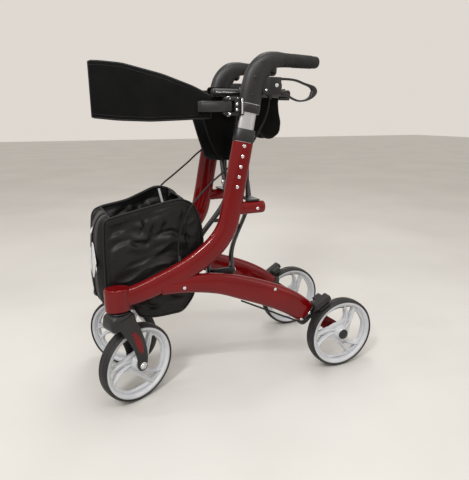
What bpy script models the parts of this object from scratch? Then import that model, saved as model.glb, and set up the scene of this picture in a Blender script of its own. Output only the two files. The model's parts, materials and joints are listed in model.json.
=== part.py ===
"""A four-wheeled walking frame (rollator) that folds sideways: two red side frames on an X brace.

Units are metres, +Z is up, +X points to the rear and the left side frame is at -Y. Every size is
written relative to the rear axle and to the middle plane, and the empty "datum" moves the whole
walker so that the origin is on the floor under the middle of its bounding box.
"""

import math

import bmesh
import bpy
from mathutils import Matrix, Vector
from mathutils.geometry import tessellate_polygon

# Driving dimensions
REAR_AXLE_X = 0.2809  # the rear axle in the finished frame
MIDDLE_Y = 0.0  # the middle plane in the finished frame
FRAME_Y = 0.1125  # middle of each side frame, folded
WHEEL_R = 0.100
TYRE_HALF = 0.0175
REAR_WHEEL_OUT = 0.035  # rear wheels stand outboard of the side frames
STEM_X = -0.605  # caster stem
TRAIL = 0.042
SWIVEL = {-1: math.radians(24), 1: math.radians(-38)}  # how far each caster rests turned
GAP = 0.0003  # between touching pieces

# Cross brace
BRACE_LENGTH = 0.47
PIVOT_Y = 0.0775  # brace pivots and seat rails, from the middle plane
PIVOT_Z = 0.303
RAIL_Z = PIVOT_Z + math.sqrt(BRACE_LENGTH**2 - (2 * PIVOT_Y) ** 2)
BRACE_LEAN = math.asin(2 * PIVOT_Y / BRACE_LENGTH)
BAR_HALF_X = 0.0045
BAR_HALF = 0.0085
BARS_A = (-0.292, -0.227)  # x of the two bars that start at the left frame
BARS_B = (-0.281, -0.238)  # x of the two that start at the right frame
BRACE_SWEEP = -0.074  # the lower ends of the bars stand this much further forward
ROD_X = -0.260  # guide rod under each seat rail
RAIL_R = 0.010
RAIL_FROM, RAIL_TO = -0.353, -0.148

# Oval tubes: half depth seen from the side, half thickness
TUBE_DEEP, TUBE_THICK = 0.026, 0.015
INNER_DEEP, INNER_THICK = 0.0212, 0.0112
COLUMN_TOP = Vector((-0.2875, 0.635))
COLUMN_DOWN = Vector((-0.185, -0.983)).normalized()  # the column leans back by 11 degrees
HOLE_PITCH, HOLES = 0.0245, 5
SEGMENTS = 16

# Backrest: a band hinged at each handle
BACK_HINGE = (-0.325, 0.715)
BACK_REACH = 0.312
BACK_ANGLE = math.asin((FRAME_Y - 0.0115) / BACK_REACH)

COLOURS = {
    "red_paint": ((0.32, 0.006, 0.012), 0.22, 0.35),
    "black_plastic": ((0.016, 0.016, 0.018), 0.55, 0.0),
    "grip_rubber": ((0.020, 0.020, 0.021), 0.75, 0.0),
    "aluminium": ((0.62, 0.63, 0.65), 0.32, 1.0),
    "black_tube": ((0.020, 0.020, 0.022), 0.35, 0.3),
    "wheel_grey": ((0.60, 0.61, 0.63), 0.45, 0.0),
    "tyre": ((0.022, 0.022, 0.024), 0.60, 0.0),
    "nylon": ((0.018, 0.018, 0.020), 0.80, 0.0),
    "cable": ((0.014, 0.014, 0.015), 0.45, 0.0),
}


def start_scene():
    """An empty scene that holds only the datum, which everything is placed from."""
    for obj in list(bpy.data.objects):
        bpy.data.objects.remove(obj)
    datum = bpy.data.objects.new("datum", None)
    datum.location = (REAR_AXLE_X, MIDDLE_Y, 0)
    bpy.context.scene.collection.objects.link(datum)


def place_object(name, data):
    obj = bpy.data.objects.new(name, data)
    bpy.context.scene.collection.objects.link(obj)
    obj.parent = bpy.data.objects["datum"]
    return obj


def material(name):
    found = bpy.data.materials.get(name)
    if found:
        return found
    colour, roughness, metallic = COLOURS[name]
    made = bpy.data.materials.new(name)
    made.use_nodes = True
    shader = made.node_tree.nodes["Principled BSDF"]
    shader.inputs["Base Color"].default_value = (*colour, 1)
    shader.inputs["Roughness"].default_value = roughness
    shader.inputs["Metallic"].default_value = metallic
    return made


def add(name, mesh, colour, smooth=35):
    """A node: an object of this mesh under the datum, shaded smooth up to that edge angle."""
    obj = place_object(name, mesh)
    if not mesh.materials:
        mesh.materials.append(material(colour))
    mesh.shade_smooth()
    mesh.set_sharp_from_angle(angle=math.radians(smooth))
    return obj


def finish(bm, name):
    """The bmesh as a mesh whose faces point out."""
    bmesh.ops.recalc_face_normals(bm, faces=bm.faces)
    mesh = bpy.data.meshes.new(name)
    bm.to_mesh(mesh)
    bm.free()
    return mesh


def helper(name, mesh):
    """A cutter or an addition for a Boolean. It isn't a node."""
    obj = place_object(name, mesh)
    obj.hide_render = True
    obj.display_type = "WIRE"
    return obj


def boolean(obj, operation, *meshes):
    for mesh in meshes:
        modifier = obj.modifiers.new(operation.title(), "BOOLEAN")
        modifier.operation = operation
        modifier.solver = "EXACT"
        modifier.object = helper("cut_" + obj.name, mesh)
    return obj


def rings(name, loops):
    """A closed mesh through loops of equally many points, with a cap on each end."""
    bm = bmesh.new()
    made = [[bm.verts.new(point) for point in loop] for loop in loops]
    count = len(made[0])
    for low, high in zip(made, made[1:]):
        for i in range(count):
            j = (i + 1) % count
            bm.faces.new((low[i], low[j], high[j], high[i]))
    bm.faces.new(made[0])
    bm.faces.new(list(reversed(made[-1])))
    return finish(bm, name)


def smooth_path(points, steps):
    """Points of any dimension on a Catmull-Rom curve through the given ones."""
    points = [Vector(p) for p in points]
    padded = [2 * points[0] - points[1], *points, 2 * points[-1] - points[-2]]
    path = []
    for a, b, c, d in zip(padded, padded[1:], padded[2:], padded[3:]):
        for i in range(steps):
            t = i / steps
            path.append(
                (2 * b + (c - a) * t + (2 * a - 5 * b + 4 * c - d) * t**2
                 + (3 * b - a - 3 * c + d) * t**3) / 2
            )
    return [*path, points[-1]]


def oval_tube(name, stations, y, steps=3, squareness=2.3, segments=SEGMENTS):
    """An oval tube whose middle line lies in the plane at y.

    Each station is (x, z, half depth in the plane, half thickness across it).
    """
    path = smooth_path(stations, steps) if steps > 1 else [Vector(s) for s in stations]
    loops = []
    for i, (x, z, deep, thick) in enumerate(path):
        before, after = path[max(i - 1, 0)], path[min(i + 1, len(path) - 1)]
        along = Vector((after[0] - before[0], 0, after[1] - before[1])).normalized()
        across = Vector((-along.z, 0, along.x))
        loop = []
        for k in range(segments):
            angle = 2 * math.pi * k / segments
            c, s = math.cos(angle), math.sin(angle)
            u = math.copysign(abs(c) ** (2 / squareness), c) * deep
            v = math.copysign(abs(s) ** (2 / squareness), s) * thick
            loop.append(Vector((x, y + v, z)) + across * u)
        loops.append(loop)
    return rings(name, loops)


def column_point(distance):
    """A point on the column's middle line, that far below its top."""
    return COLUMN_TOP + COLUMN_DOWN * distance


def column_tube(name, side, top, bottom, deep, thick):
    """A straight oval piece on the column's line; top and bottom are distances below its top."""
    a, b = column_point(top), column_point(bottom)
    return oval_tube(name, [(*a, deep, thick), (*b, deep, thick)], side * FRAME_Y, steps=1)


def cylinder(name, start, end, radius, segments=20, radius_end=None):
    """A cylinder or cone between two points."""
    start, end = Vector(start), Vector(end)
    turn = (end - start).to_track_quat("Z", "Y").to_matrix()
    loops = []
    for centre, r in ((start, radius), (end, radius_end or radius)):
        loops.append([
            centre + turn @ Vector((r * math.cos(a), r * math.sin(a), 0))
            for a in (2 * math.pi * k / segments for k in range(segments))
        ])
    return rings(name, loops)


def turned(name, profile, centre, axis, segments=32, closed=False):
    """A profile of (radius, offset along the axis) turned round the axis."""
    turn = Vector(axis).to_track_quat("Z", "Y").to_matrix()
    bm = bmesh.new()
    loops = []
    for k in range(segments):
        a = 2 * math.pi * k / segments
        loops.append([
            bm.verts.new(Vector(centre) + turn @ Vector((r * math.cos(a), r * math.sin(a), h)))
            for r, h in profile
        ])
    count = len(profile)
    for k in range(segments):
        here, there = loops[k], loops[(k + 1) % segments]
        for i in range(count if closed else count - 1):
            j = (i + 1) % count
            bm.faces.new((here[i], here[j], there[j], there[i]))
    if not closed:
        bm.faces.new([loop[0] for loop in loops])
        bm.faces.new([loop[-1] for loop in reversed(loops)])
    return finish(bm, name)


def block(name, low, high, bevel=0.0, segments=2, turn=None, pivot=None):
    """A box with rounded edges, turned about a pivot where a matrix is given."""
    low, high = Vector(low), Vector(high)
    low, high = Vector(map(min, low, high)), Vector(map(max, low, high))
    bm = bmesh.new()
    bmesh.ops.create_cube(bm, size=1)
    bmesh.ops.scale(bm, vec=high - low, verts=bm.verts)
    bmesh.ops.translate(bm, vec=(low + high) / 2, verts=bm.verts)
    if bevel:
        bmesh.ops.bevel(
            bm, geom=list(bm.edges), offset=bevel, segments=segments, profile=0.5, affect="EDGES"
        )
    if turn is not None:
        bmesh.ops.rotate(bm, cent=pivot, matrix=turn, verts=bm.verts)
    return finish(bm, name)


def plate(name, outline, y_low, y_high):
    """A flat plate: an outline of (x, z) points, thick from y_low to y_high."""
    return rings(name, [
        [(x, y_low, z) for x, z in outline],
        [(x, y_high, z) for x, z in outline],
    ])


def slab(name, outline, low, high, place):
    """A thin panel: an outline in its own (u, v) plane, between two offsets, put in place."""
    return rings(name, [[place(u, v, offset) for u, v in outline] for offset in (low, high)])


# --- The side frames -----------------------------------------------------------------------

LEG_END = Vector((-0.095, 0.163))
LEG_ALONG = Vector((0.786, -0.618)).normalized()


def side_frame(side, label):
    """Column, front arm, rear leg, caster head and seat rest, welded into one frame."""
    y = side * FRAME_Y
    straight = [(*column_point(d), TUBE_DEEP, TUBE_THICK) for d in (0, 0.083, 0.157)]
    main = oval_tube("main_tube", straight + [
        (-0.332, 0.424, 0.0265, TUBE_THICK), (-0.369, 0.377, 0.027, TUBE_THICK),
        (-0.430, 0.336, 0.0265, TUBE_THICK), (-0.510, 0.303, 0.025, TUBE_THICK),
        (-0.565, 0.286, 0.0235, TUBE_THICK), (STEM_X, 0.281, 0.0225, TUBE_THICK),
    ], y, steps=2)
    leg = oval_tube("rear_leg", [
        (-0.500, 0.2975, 0.022, 0.0146), (-0.430, 0.2955, 0.0235, 0.0146),
        (-0.350, 0.2835, 0.0275, 0.0146), (-0.280, 0.2605, 0.0315, 0.0146),
        (-0.200, 0.2285, 0.0335, 0.0146), (-0.140, 0.1965, 0.0335, 0.0146),
        (*LEG_END, 0.032, 0.0146),
    ], y, steps=2)
    head = turned("caster_head", [(0.0215, 0), (0.0225, 0.003), (0.0225, 0.054), (0.0205, 0.057)],
                  (STEM_X, y, 0.252), (0, 0, 1), segments=24)
    for vertex in head.vertices:
        vertex.co.x = STEM_X + (vertex.co.x - STEM_X) * 1.32
    rest = oval_tube("seat_rest", [
        (-0.312, 0.4735, 0.0155, 0.0115), (-0.236, 0.4745, 0.0155, 0.0115),
        (-0.231, 0.4746, 0.0142, 0.0105), (-0.228, 0.4747, 0.0105, 0.0080),
    ], y, steps=1, segments=16)
    bore = column_tube("bore", side, -0.01, 0.158, 0.0220, 0.0118)
    stem_hole = cylinder("stem_hole", (STEM_X, y, 0.24), (STEM_X, y, 0.298), 0.0095, 16)
    cuts = [bore, stem_hole]
    for k in range(HOLES):
        x, z = column_point(0.010 + k * HOLE_PITCH)
        cuts.append(cylinder("hole", (x, y, z), (x, side * (FRAME_Y + 0.03), z), 0.0036, 10))
    frame = add(label + "_side_frame", main, "red_paint")
    boolean(frame, "UNION", leg, head, rest)
    boolean(frame, "DIFFERENCE", *cuts)


def column_bush(side, label):
    """Plastic bush on the top of the column, round the height tube."""
    bush = add(label + "_column_bush", column_tube("bush", side, -0.0295, -GAP, 0.0265, 0.0158),
               "black_plastic")
    boolean(bush, "DIFFERENCE", column_tube("bush_bore", side, -0.04, 0.01, 0.0216, 0.0116))


def brace_bracket(side, label, bars):
    """Channel on the frame's inner face, whose two ears carry the pins of the brace bars."""
    inner = FRAME_Y - TUBE_THICK - GAP
    clear = BAR_HALF_X + GAP
    bars = [bar + BRACE_SWEEP for bar in bars]
    ears, pins = [], []
    for bar, way in zip(bars, (-1, 1)):
        near = bar - way * clear
        far = near - way * 0.004
        ears.append(block("ear", (near, side * (inner - 0.002), PIVOT_Z - 0.010),
                          (far, side * (PIVOT_Y - 0.009), PIVOT_Z + 0.010), 0.001, 1))
        pins.append(cylinder("pin", (far + way * 0.001, side * PIVOT_Y, PIVOT_Z),
                             (bar + way * (BAR_HALF_X + 0.003), side * PIVOT_Y, PIVOT_Z), 0.0038, 14))
    back = block("back", (bars[0] + clear, side * inner, PIVOT_Z - 0.016),
                 (bars[1] - clear, side * (inner - 0.006), PIVOT_Z + 0.014), 0.001, 1)
    bracket = add(label + "_brace_bracket", back, "black_plastic")
    boolean(bracket, "UNION", *ears, *pins)


def guide_plate(side, label):
    """Thin plate on the seat rest, with the hole that the guide rod slides through."""
    z = 0.4906
    made = add(label + "_guide_plate", block(
        "guide", (-0.275, side * (FRAME_Y + 0.008), z), (-0.244, side * 0.0665, z + 0.0045), 0.001, 1
    ), "black_plastic")
    boolean(made, "DIFFERENCE", cylinder(
        "rod_hole", (ROD_X, side * PIVOT_Y, z - 0.01), (ROD_X, side * PIVOT_Y, z + 0.02), 0.0051, 16))


def leg_cap(side, label):
    """Black clamp that closes the end of the rear leg."""
    y = side * FRAME_Y
    start = LEG_END + LEG_ALONG * 2 * GAP
    stations = [(*(start + LEG_ALONG * d), deep, thick) for d, deep, thick in (
        (0, 0.0355, 0.0175), (0.002, 0.0370, 0.0185), (0.013, 0.0370, 0.0185), (0.016, 0.0345, 0.017))]
    add(label + "_leg_clamp", oval_tube("clamp", stations, y, steps=1), "black_plastic")


def wheel_carrier(side, label):
    """Red plate from the leg clamp to the stub axle of the rear wheel."""
    outline = [(-0.0795, 0.140), (-0.0580, 0.1675), (-0.0350, 0.1480), (0.0060, 0.1170)]
    for k in range(9):
        a = math.radians(55 - 25 * k)
        outline.append((0.019 * math.cos(a), WHEEL_R + 0.019 * math.sin(a)))
    outline.append((-0.0300, 0.0990))
    inner, outer = side * (FRAME_Y - 0.0035), side * (FRAME_Y + 0.0035)
    made = add(label + "_wheel_carrier", plate("carrier", outline, inner, outer), "red_paint")
    end = side * (FRAME_Y + REAR_WHEEL_OUT + 0.0215)
    boolean(made, "UNION", cylinder("stub", (0, inner, WHEEL_R), (0, end, WHEEL_R), 0.006, 20))


SHOE_AT = Vector((-0.0575, 0, 0.1892))  # middle of the brake shoe
SHOE_WAY = Vector((0.5417, 0, -0.8406))  # towards the axle


def about_shoe(u, v, w, side):
    """A point by its distances along the tyre, outboard of the wheel's middle, and outwards."""
    along = Vector((-SHOE_WAY.z, 0, SHOE_WAY.x))
    middle = Vector((SHOE_AT.x, side * (FRAME_Y + REAR_WHEEL_OUT), SHOE_AT.z))
    return middle + along * u + Vector((0, side * v, 0)) - SHOE_WAY * w


def shoe_box(name, side, low, high, bevel):
    """A box in the brake's own directions."""
    along = Vector((-SHOE_WAY.z, 0, SHOE_WAY.x))
    turn = Matrix((along, (0, side, 0), -SHOE_WAY)).transposed()
    low, high = Vector(low), Vector(high)
    bm = bmesh.new()
    bmesh.ops.create_cube(bm, size=1)
    bmesh.ops.scale(bm, vec=high - low, verts=bm.verts)
    bmesh.ops.translate(bm, vec=(low + high) / 2, verts=bm.verts)
    bmesh.ops.bevel(bm, geom=list(bm.edges), offset=bevel, segments=2, profile=0.5, affect="EDGES")
    bmesh.ops.transform(bm, matrix=turn.to_4x4(), verts=bm.verts)
    bmesh.ops.translate(bm, vec=about_shoe(0, 0, 0, side), verts=bm.verts)
    return finish(bm, name)


def brake_unit(side, label):
    """Housing over the tyre, its arm to the leg clamp, and the shoe that slides in it."""
    shell = shoe_box("shell", side, (-0.027, -0.0135, 0.0065), (0.027, 0.0135, 0.0235), 0.005)
    arm = shoe_box("arm", side, (-0.010, -0.0320, 0.0125), (0.016, -0.0100, 0.0225), 0.004)
    housing = add(label + "_brake_housing", shell, "black_plastic")
    boolean(housing, "UNION", arm)
    boolean(housing, "DIFFERENCE",
            shoe_box("slot", side, (-0.0093, -0.0063, -0.002), (0.0093, 0.0063, 0.0165), 0.0005))
    shoe = add(label + "_brake_shoe", shoe_box(
        "shoe", side, (-0.018, -0.0120, -0.0005), (0.018, 0.0120, 0.0035), 0.0012), "black_tube")
    boolean(shoe, "UNION",
            shoe_box("peg", side, (-0.009, -0.0060, 0.001), (0.009, 0.0060, 0.0130), 0.0005))


# --- Wheels and casters ----------------------------------------------------------------------

WEB_SWEEP = 450  # degrees per metre of radius
TYRE_PROFILE = [(0.0922, -0.0150), (0.0945, -TYRE_HALF), (0.0978, -0.0145), (WHEEL_R, -0.0050),
                (WHEEL_R, 0.0050), (0.0978, 0.0145), (0.0945, TYRE_HALF), (0.0922, 0.0150)]
WHEEL_SEGMENTS = 28


def opening(points, turn):
    """An outline through polar points (radius, degrees), turned, and swept back towards the rim."""
    angles = [math.radians(a + turn + WEB_SWEEP * (r - 0.055)) for r, a in points]
    return [(r * math.cos(a), r * math.sin(a)) for (r, _), a in zip(points, angles)]


def closed_curve(points, steps):
    """Points on a closed Catmull-Rom curve through the given ones."""
    count = len(points)
    path = smooth_path([points[i % count] for i in range(-1, count + 2)], steps)
    return path[steps:-2 * steps - 1] if steps > 1 else [Vector(p) for p in points]


def web_mesh(name):
    """The wheel's face, with its three wide and three narrow openings."""
    wide = [(0.0290, 0), (0.0360, -36), (0.0580, -45), (0.0730, -41), (0.0765, 0), (0.0730, 41),
            (0.0580, 45), (0.0360, 36)]
    narrow = [(0.0390, 60), (0.0740, 52), (0.0755, 60), (0.0740, 68)]
    ring = [(math.cos(2 * math.pi * k / 28), math.sin(2 * math.pi * k / 28)) for k in range(28)]
    outlines = [[Vector(p) * 0.0845 for p in ring], [Vector(p) * 0.0120 for p in ring[::4]]]
    for turn in (0, 120, 240):
        outlines += [closed_curve(opening(wide, turn), 2), closed_curve(opening(narrow, turn), 1)]
    flat = [[point.to_3d() for point in outline] for outline in outlines]
    bm = bmesh.new()
    low, high = ([bm.verts.new((p.x, p.y, z)) for outline in flat for p in outline]
                 for z in (-0.0085, 0.0085))
    for i, j, k in tessellate_polygon(flat):
        bm.faces.new((low[i], low[j], low[k]))
        bm.faces.new((high[i], high[k], high[j]))
    first = 0
    for outline in flat:
        count = len(outline)
        for i in range(count):
            a, b = first + i, first + (i + 1) % count
            bm.faces.new((low[a], low[b], high[b], high[a]))
        first += count
    return finish(bm, name)


def wheel_meshes():
    """Tyre and spoked wheel about the origin, turning about Y."""
    upright = Matrix.Rotation(math.radians(90), 3, "X")
    tyre = turned("tyre", TYRE_PROFILE, (0, 0, 0), (0, 1, 0), WHEEL_SEGMENTS, closed=True)
    rim = turned("rim", [(0.0815, -0.0145), (0.0919, -0.0145), (0.0919, 0.0145), (0.0815, 0.0145)],
                 (0, 0, 0), (0, 1, 0), WHEEL_SEGMENTS, closed=True)
    web = web_mesh("web")
    for vertex in web.vertices:
        vertex.co = upright @ vertex.co
    hub = turned("hub", [(0.0066, -0.0185), (0.0185, -0.0185), (0.0200, -0.0165), (0.0200, 0.0165),
                         (0.0185, 0.0185), (0.0066, 0.0185)], (0, 0, 0), (0, 1, 0), 16, closed=True)
    whole = boolean(helper("whole_wheel", rim), "UNION", web, hub)
    for piece in (whole, *(m.object for m in whole.modifiers)):
        piece.parent = None
    graph = bpy.context.evaluated_depsgraph_get()
    return tyre, bpy.data.meshes.new_from_object(whole.evaluated_get(graph))


def wheel(label, centre, turn, meshes):
    """A tyre and a spoked wheel that share their meshes with the other three wheels."""
    for name, mesh, colour in (("_tyre", meshes[0], "tyre"), ("_wheel", meshes[1], "wheel_grey")):
        obj = add(label + name, mesh, colour)
        obj.location, obj.rotation_euler.z = centre, turn


def hub_cap(side, label):
    """Black cap outside the rear wheel's hub."""
    y = side * (FRAME_Y + REAR_WHEEL_OUT + 0.0188)
    add(label + "_hub_cap", turned("cap", [
        (0.0155, 0), (0.0155, 0.0035), (0.0130, 0.0060), (0.0070, 0.0070)],
        (0, y, WHEEL_R), (0, side, 0), 20), "black_plastic")
    boolean(bpy.data.objects[label + "_hub_cap"], "DIFFERENCE", cylinder(
        "cap_bore", (0, y - side * 0.002, WHEEL_R), (0, y + side * 0.0032, WHEEL_R), 0.0064, 16))


def caster(side, label, meshes):
    """Fork with its stem and axle, and the wheel that trails behind the stem."""
    stem = Vector((STEM_X, side * FRAME_Y, 0))
    turn = Matrix.Rotation(SWIVEL[side], 3, "Z")
    crown = block("crown", (-0.034, -0.0290, 0.2065), (0.036, 0.0290, 0.2495), 0.014, 2)
    legs = [oval_tube("fork_leg", [
        (0.002, 0.240, 0.0200, 0.0040), (0.007, 0.215, 0.0215, 0.0042), (0.019, 0.172, 0.0180, 0.0042),
        (0.033, 0.130, 0.0150, 0.0042), (TRAIL, WHEEL_R, 0.0135, 0.0042),
        (TRAIL + 0.004, 0.0895, 0.0090, 0.0038),
    ], v, steps=2, squareness=3, segments=12) for v in (-0.0248, 0.0248)]
    post = cylinder("stem", (0, 0, 0.23), (0, 0, 0.293), 0.0090, 16)
    pin = cylinder("axle", (TRAIL, -0.0305, WHEEL_R), (TRAIL, 0.0305, WHEEL_R), 0.0055, 16)
    fork = add(label + "_caster_fork", crown, "black_plastic")
    boolean(fork, "UNION", *legs, post, pin)
    for obj in (fork, *(m.object for m in fork.modifiers)):
        obj.location, obj.rotation_euler.z = stem, SWIVEL[side]
    centre = stem + turn @ Vector((TRAIL, 0, WHEEL_R))
    wheel(label + "_front", centre, SWIVEL[side], meshes)


# --- Handles -----------------------------------------------------------------------------------

def handle(side, label):
    """Height tube, J-shaped housing, grip, collar and the mount of the brake lever."""
    y = side * FRAME_Y
    inner = add(label + "_height_tube",
                column_tube("inner", side, -0.118, 0.142, INNER_DEEP, INNER_THICK), "aluminium")
    x, z = column_point(0.010 + (HOLES - 1) * HOLE_PITCH)
    boolean(inner, "DIFFERENCE",
            column_tube("inner_bore", side, -0.02, 0.15, INNER_DEEP - 0.002, INNER_THICK - 0.002),
            cylinder("button_hole", (x, y, z), (x, y + side * 0.02, z), 0.0034, 12))
    button = add(label + "_height_button", cylinder(
        "button", (x, y + side * 0.0042, z), (x, y + side * 0.0110, z), 0.0031, 12), "aluminium")
    boolean(button, "UNION", cylinder(
        "flange", (x, y + side * 0.0036, z), (x, y + side * 0.0062, z), 0.0048, 12))

    housing = add(label + "_handle_housing", oval_tube("housing", [
        (*column_point(-0.0885), 0.0270, 0.0172), (*column_point(-0.1260), 0.0272, 0.0172),
        (-0.2520, 0.7890, 0.0278, 0.0170), (-0.2320, 0.8115, 0.0245, 0.0164),
        (-0.2080, 0.8205, 0.0190, 0.0156), (-0.1880, 0.8212, 0.0162, 0.0148),
    ], y, steps=2), "black_plastic")
    boolean(housing, "UNION", oval_tube("spigot", [
        (-0.2000, 0.8212, 0.0080, 0.0080), (-0.1050, 0.8192, 0.0080, 0.0080)], y, 1, 2, 12))
    boolean(housing, "UNION", block("lever_mount", (-0.2420, y - 0.0115, 0.7420),
                                    (-0.1930, y + 0.0115, 0.7830), 0.005))
    boolean(housing, "DIFFERENCE",
            column_tube("socket", side, -0.1195, -0.06, 0.0216, 0.0116),
            block("lever_slot", (-0.2240, y - 0.0066, 0.73), (-0.18, y + 0.0066, 0.79)))
    boolean(housing, "UNION", cylinder("lever_pin", lever_pivot(side, -0.0100),
                                       lever_pivot(side, 0.0100), 0.0028, 12))
    grip = add(label + "_grip", oval_tube("grip", [
        (-0.1874, 0.8212, 0.0162, 0.0148), (-0.1500, 0.8205, 0.0150, 0.0142),
        (-0.1190, 0.8198, 0.0142, 0.0138), (-0.0980, 0.8193, 0.0138, 0.0136),
        (-0.0920, 0.8192, 0.0115, 0.0115), (-0.0895, 0.8191, 0.0070, 0.0070),
    ], y, steps=2), "grip_rubber")
    boolean(grip, "DIFFERENCE", oval_tube("grip_bore", [
        (-0.1900, 0.8212, 0.0084, 0.0084), (-0.1040, 0.8192, 0.0084, 0.0084)], y, 1, 2, 12))

    collar = add(label + "_collar",
                 column_tube("collar", side, -0.0875, -0.0670, 0.0278, 0.0178), "black_plastic")
    boolean(collar, "DIFFERENCE", column_tube("collar_bore", side, -0.10, -0.06, 0.0216, 0.0116))


LEVER_X, LEVER_Z = -0.2060, 0.7640


def lever_pivot(side, offset):
    return (LEVER_X, side * FRAME_Y + offset, LEVER_Z)


def brake_lever(side, label):
    """Closed loop lever under the grip, with the boss that turns on its pin."""
    y = side * FRAME_Y
    loop = oval_tube("loop", [
        (-0.2040, 0.7700, 0.0045, 0.0058), (-0.1800, 0.7790, 0.0036, 0.0055),
        (-0.1500, 0.7795, 0.0030, 0.0052), (-0.1200, 0.7770, 0.0030, 0.0052),
        (-0.0960, 0.7725, 0.0040, 0.0058), (-0.0875, 0.7640, 0.0055, 0.0060),
        (-0.0900, 0.7500, 0.0060, 0.0060), (-0.1050, 0.7385, 0.0042, 0.0056),
        (-0.1300, 0.7320, 0.0032, 0.0052), (-0.1600, 0.7345, 0.0032, 0.0052),
        (-0.1880, 0.7480, 0.0040, 0.0055), (-0.2040, 0.7590, 0.0045, 0.0058),
    ], y, steps=2, segments=8)
    lever = add(label + "_brake_lever", loop, "black_plastic")
    boolean(lever, "UNION", cylinder("boss", lever_pivot(side, -0.0060),
                                     lever_pivot(side, 0.0060), 0.0120, 20))
    boolean(lever, "DIFFERENCE", cylinder("boss_bore", lever_pivot(side, -0.01),
                                          lever_pivot(side, 0.01), 0.0031, 12))


def tube_curve(name, points, radius, spacing):
    """A cable: a bevelled curve on a smooth line through the points."""
    path = smooth_path(points, 4)
    spread = [path[0]]
    for p in path[1:-1]:
        if (p - spread[-1]).length >= spacing:
            spread.append(p)
    spread.append(path[-1])
    curve = bpy.data.curves.new(name, "CURVE")
    curve.dimensions = "3D"
    curve.bevel_depth, curve.bevel_resolution, curve.use_fill_caps = radius, 2, True
    line = curve.splines.new("POLY")
    line.points.add(len(spread) - 1)
    for p, q in zip(line.points, spread):
        p.co = (*q, 1)
    curve.materials.append(material("cable"))
    return place_object(name, curve)


CABLE_R = 0.0023


UPPER_CABLE_LOW = {
    -1: [(-0.2680, 0.0928, 0.6120), (-0.3150, 0.0928, 0.5740), (-0.3650, 0.0928, 0.5350),
         (-0.4100, 0.0928, 0.4880), (-0.4400, 0.0940, 0.4350), (-0.4520, 0.1020, 0.3850),
         (-0.4520, 0.1110, 0.3580)],
    1: [(-0.2700, 0.0928, 0.6400), (-0.3310, 0.0928, 0.6000), (-0.3660, 0.0928, 0.5710),
        (-0.4060, 0.0928, 0.5400), (-0.4460, 0.0928, 0.5080), (-0.4740, 0.0930, 0.4600),
        (-0.4850, 0.0960, 0.4000), (-0.4820, 0.1105, 0.3450)],
}


def cables(side, label):
    """The brake cable: from the lever mount into the frame, and from the leg to the brake."""
    upper = [(-0.2160, 0.1080, 0.7405), (-0.2190, 0.1020, 0.7050), (-0.2330, 0.0945, 0.6650)]
    lower = [(-0.2900, 0.1125, 0.2265), (-0.2550, 0.1125, 0.2085), (-0.2050, 0.1140, 0.1830),
             (-0.1500, 0.1200, 0.1560), (-0.1150, 0.1290, 0.1430), (-0.0900, 0.1370, 0.1560),
             (-0.0800, 0.1430, 0.1780)]
    for name, points, spacing in (("_upper_cable", upper + UPPER_CABLE_LOW[side], 0.016),
                                  ("_lower_cable", lower, 0.012)):
        tube_curve(label + name, [(x, side * y, z) for x, y, z in points], CABLE_R, spacing)


# --- Cross brace and seat ------------------------------------------------------------------------

def sweep(distance):
    """How far forward a bar stands at that distance above its lower pin."""
    t = min(max((BRACE_LENGTH / 2 - 0.035 - distance) / 0.175, 0), 1)
    return BRACE_SWEEP * t * t * (3 - 2 * t)


BAR_STATIONS = [  # distance above the lower pin, half width
    (-0.0098, 0.0020), (-0.0077, 0.0064), (-0.0042, 0.0091), (0, 0.0100), (0.010, 0.0095),
    (0.025, BAR_HALF), (0.060, BAR_HALF), (0.090, BAR_HALF), (0.120, BAR_HALF),
    (0.160, BAR_HALF), (0.200, BAR_HALF), (BRACE_LENGTH - 0.026, BAR_HALF),
    (BRACE_LENGTH - 0.012, 0.0110), (BRACE_LENGTH, 0.0125), (BRACE_LENGTH + 0.0062, 0.0109),
    (BRACE_LENGTH + 0.0104, 0.0070), (BRACE_LENGTH + 0.0123, 0.0022),
]


def brace(label, side, bars, with_axle):
    """Two parallel bars with tie rods, from the pin on one frame to the rail on the other."""
    low = Vector((0, side * PIVOT_Y, PIVOT_Z))
    high = Vector((0, -side * PIVOT_Y, RAIL_Z))
    along = (high - low).normalized()
    across = Vector((0, -along.z, along.y))

    def bar(x):
        loops = []
        for distance, half in BAR_STATIONS:
            centre = low + along * distance + Vector((x + sweep(distance), 0, 0))
            loops.append([centre + Vector((dx, 0, 0)) + across * dw for dx, dw in (
                (-BAR_HALF_X, -half), (BAR_HALF_X, -half), (BAR_HALF_X, half), (-BAR_HALF_X, half))])
        return rings("bar", loops)

    def rod(name, distance, radius, beyond, segments=16):
        at, x = low + along * distance, sweep(distance)
        return cylinder(name, (bars[0] + x - beyond, at.y, at.z), (bars[1] + x + beyond, at.y, at.z),
                        radius, segments)

    middle = BRACE_LENGTH / 2
    made = add(label, bar(bars[0]), "black_tube")
    boolean(made, "UNION", bar(bars[1]), rod("tie", 0.115, 0.0055, 0, 8), rod("tie", 0.350, 0.0055, 0, 8))
    boolean(made, "DIFFERENCE", rod("low_eye", 0, 0.0043, 0.02, 12),
            rod("high_eye", BRACE_LENGTH, RAIL_R + 0.0006, 0.02))
    if with_axle:
        boolean(made, "UNION", rod("centre_axle", middle, 0.0044, 0.021, 12))
    else:
        boolean(made, "DIFFERENCE", rod("middle_eye", middle, 0.0049, 0.02, 12))


LIP = 0.025  # from the rail's axis to the line where the seat folds
LIP_UP = 0.0125
SEAT_SLOPE = math.radians(74.2)  # how far each half hangs below the horizontal, folded


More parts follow.
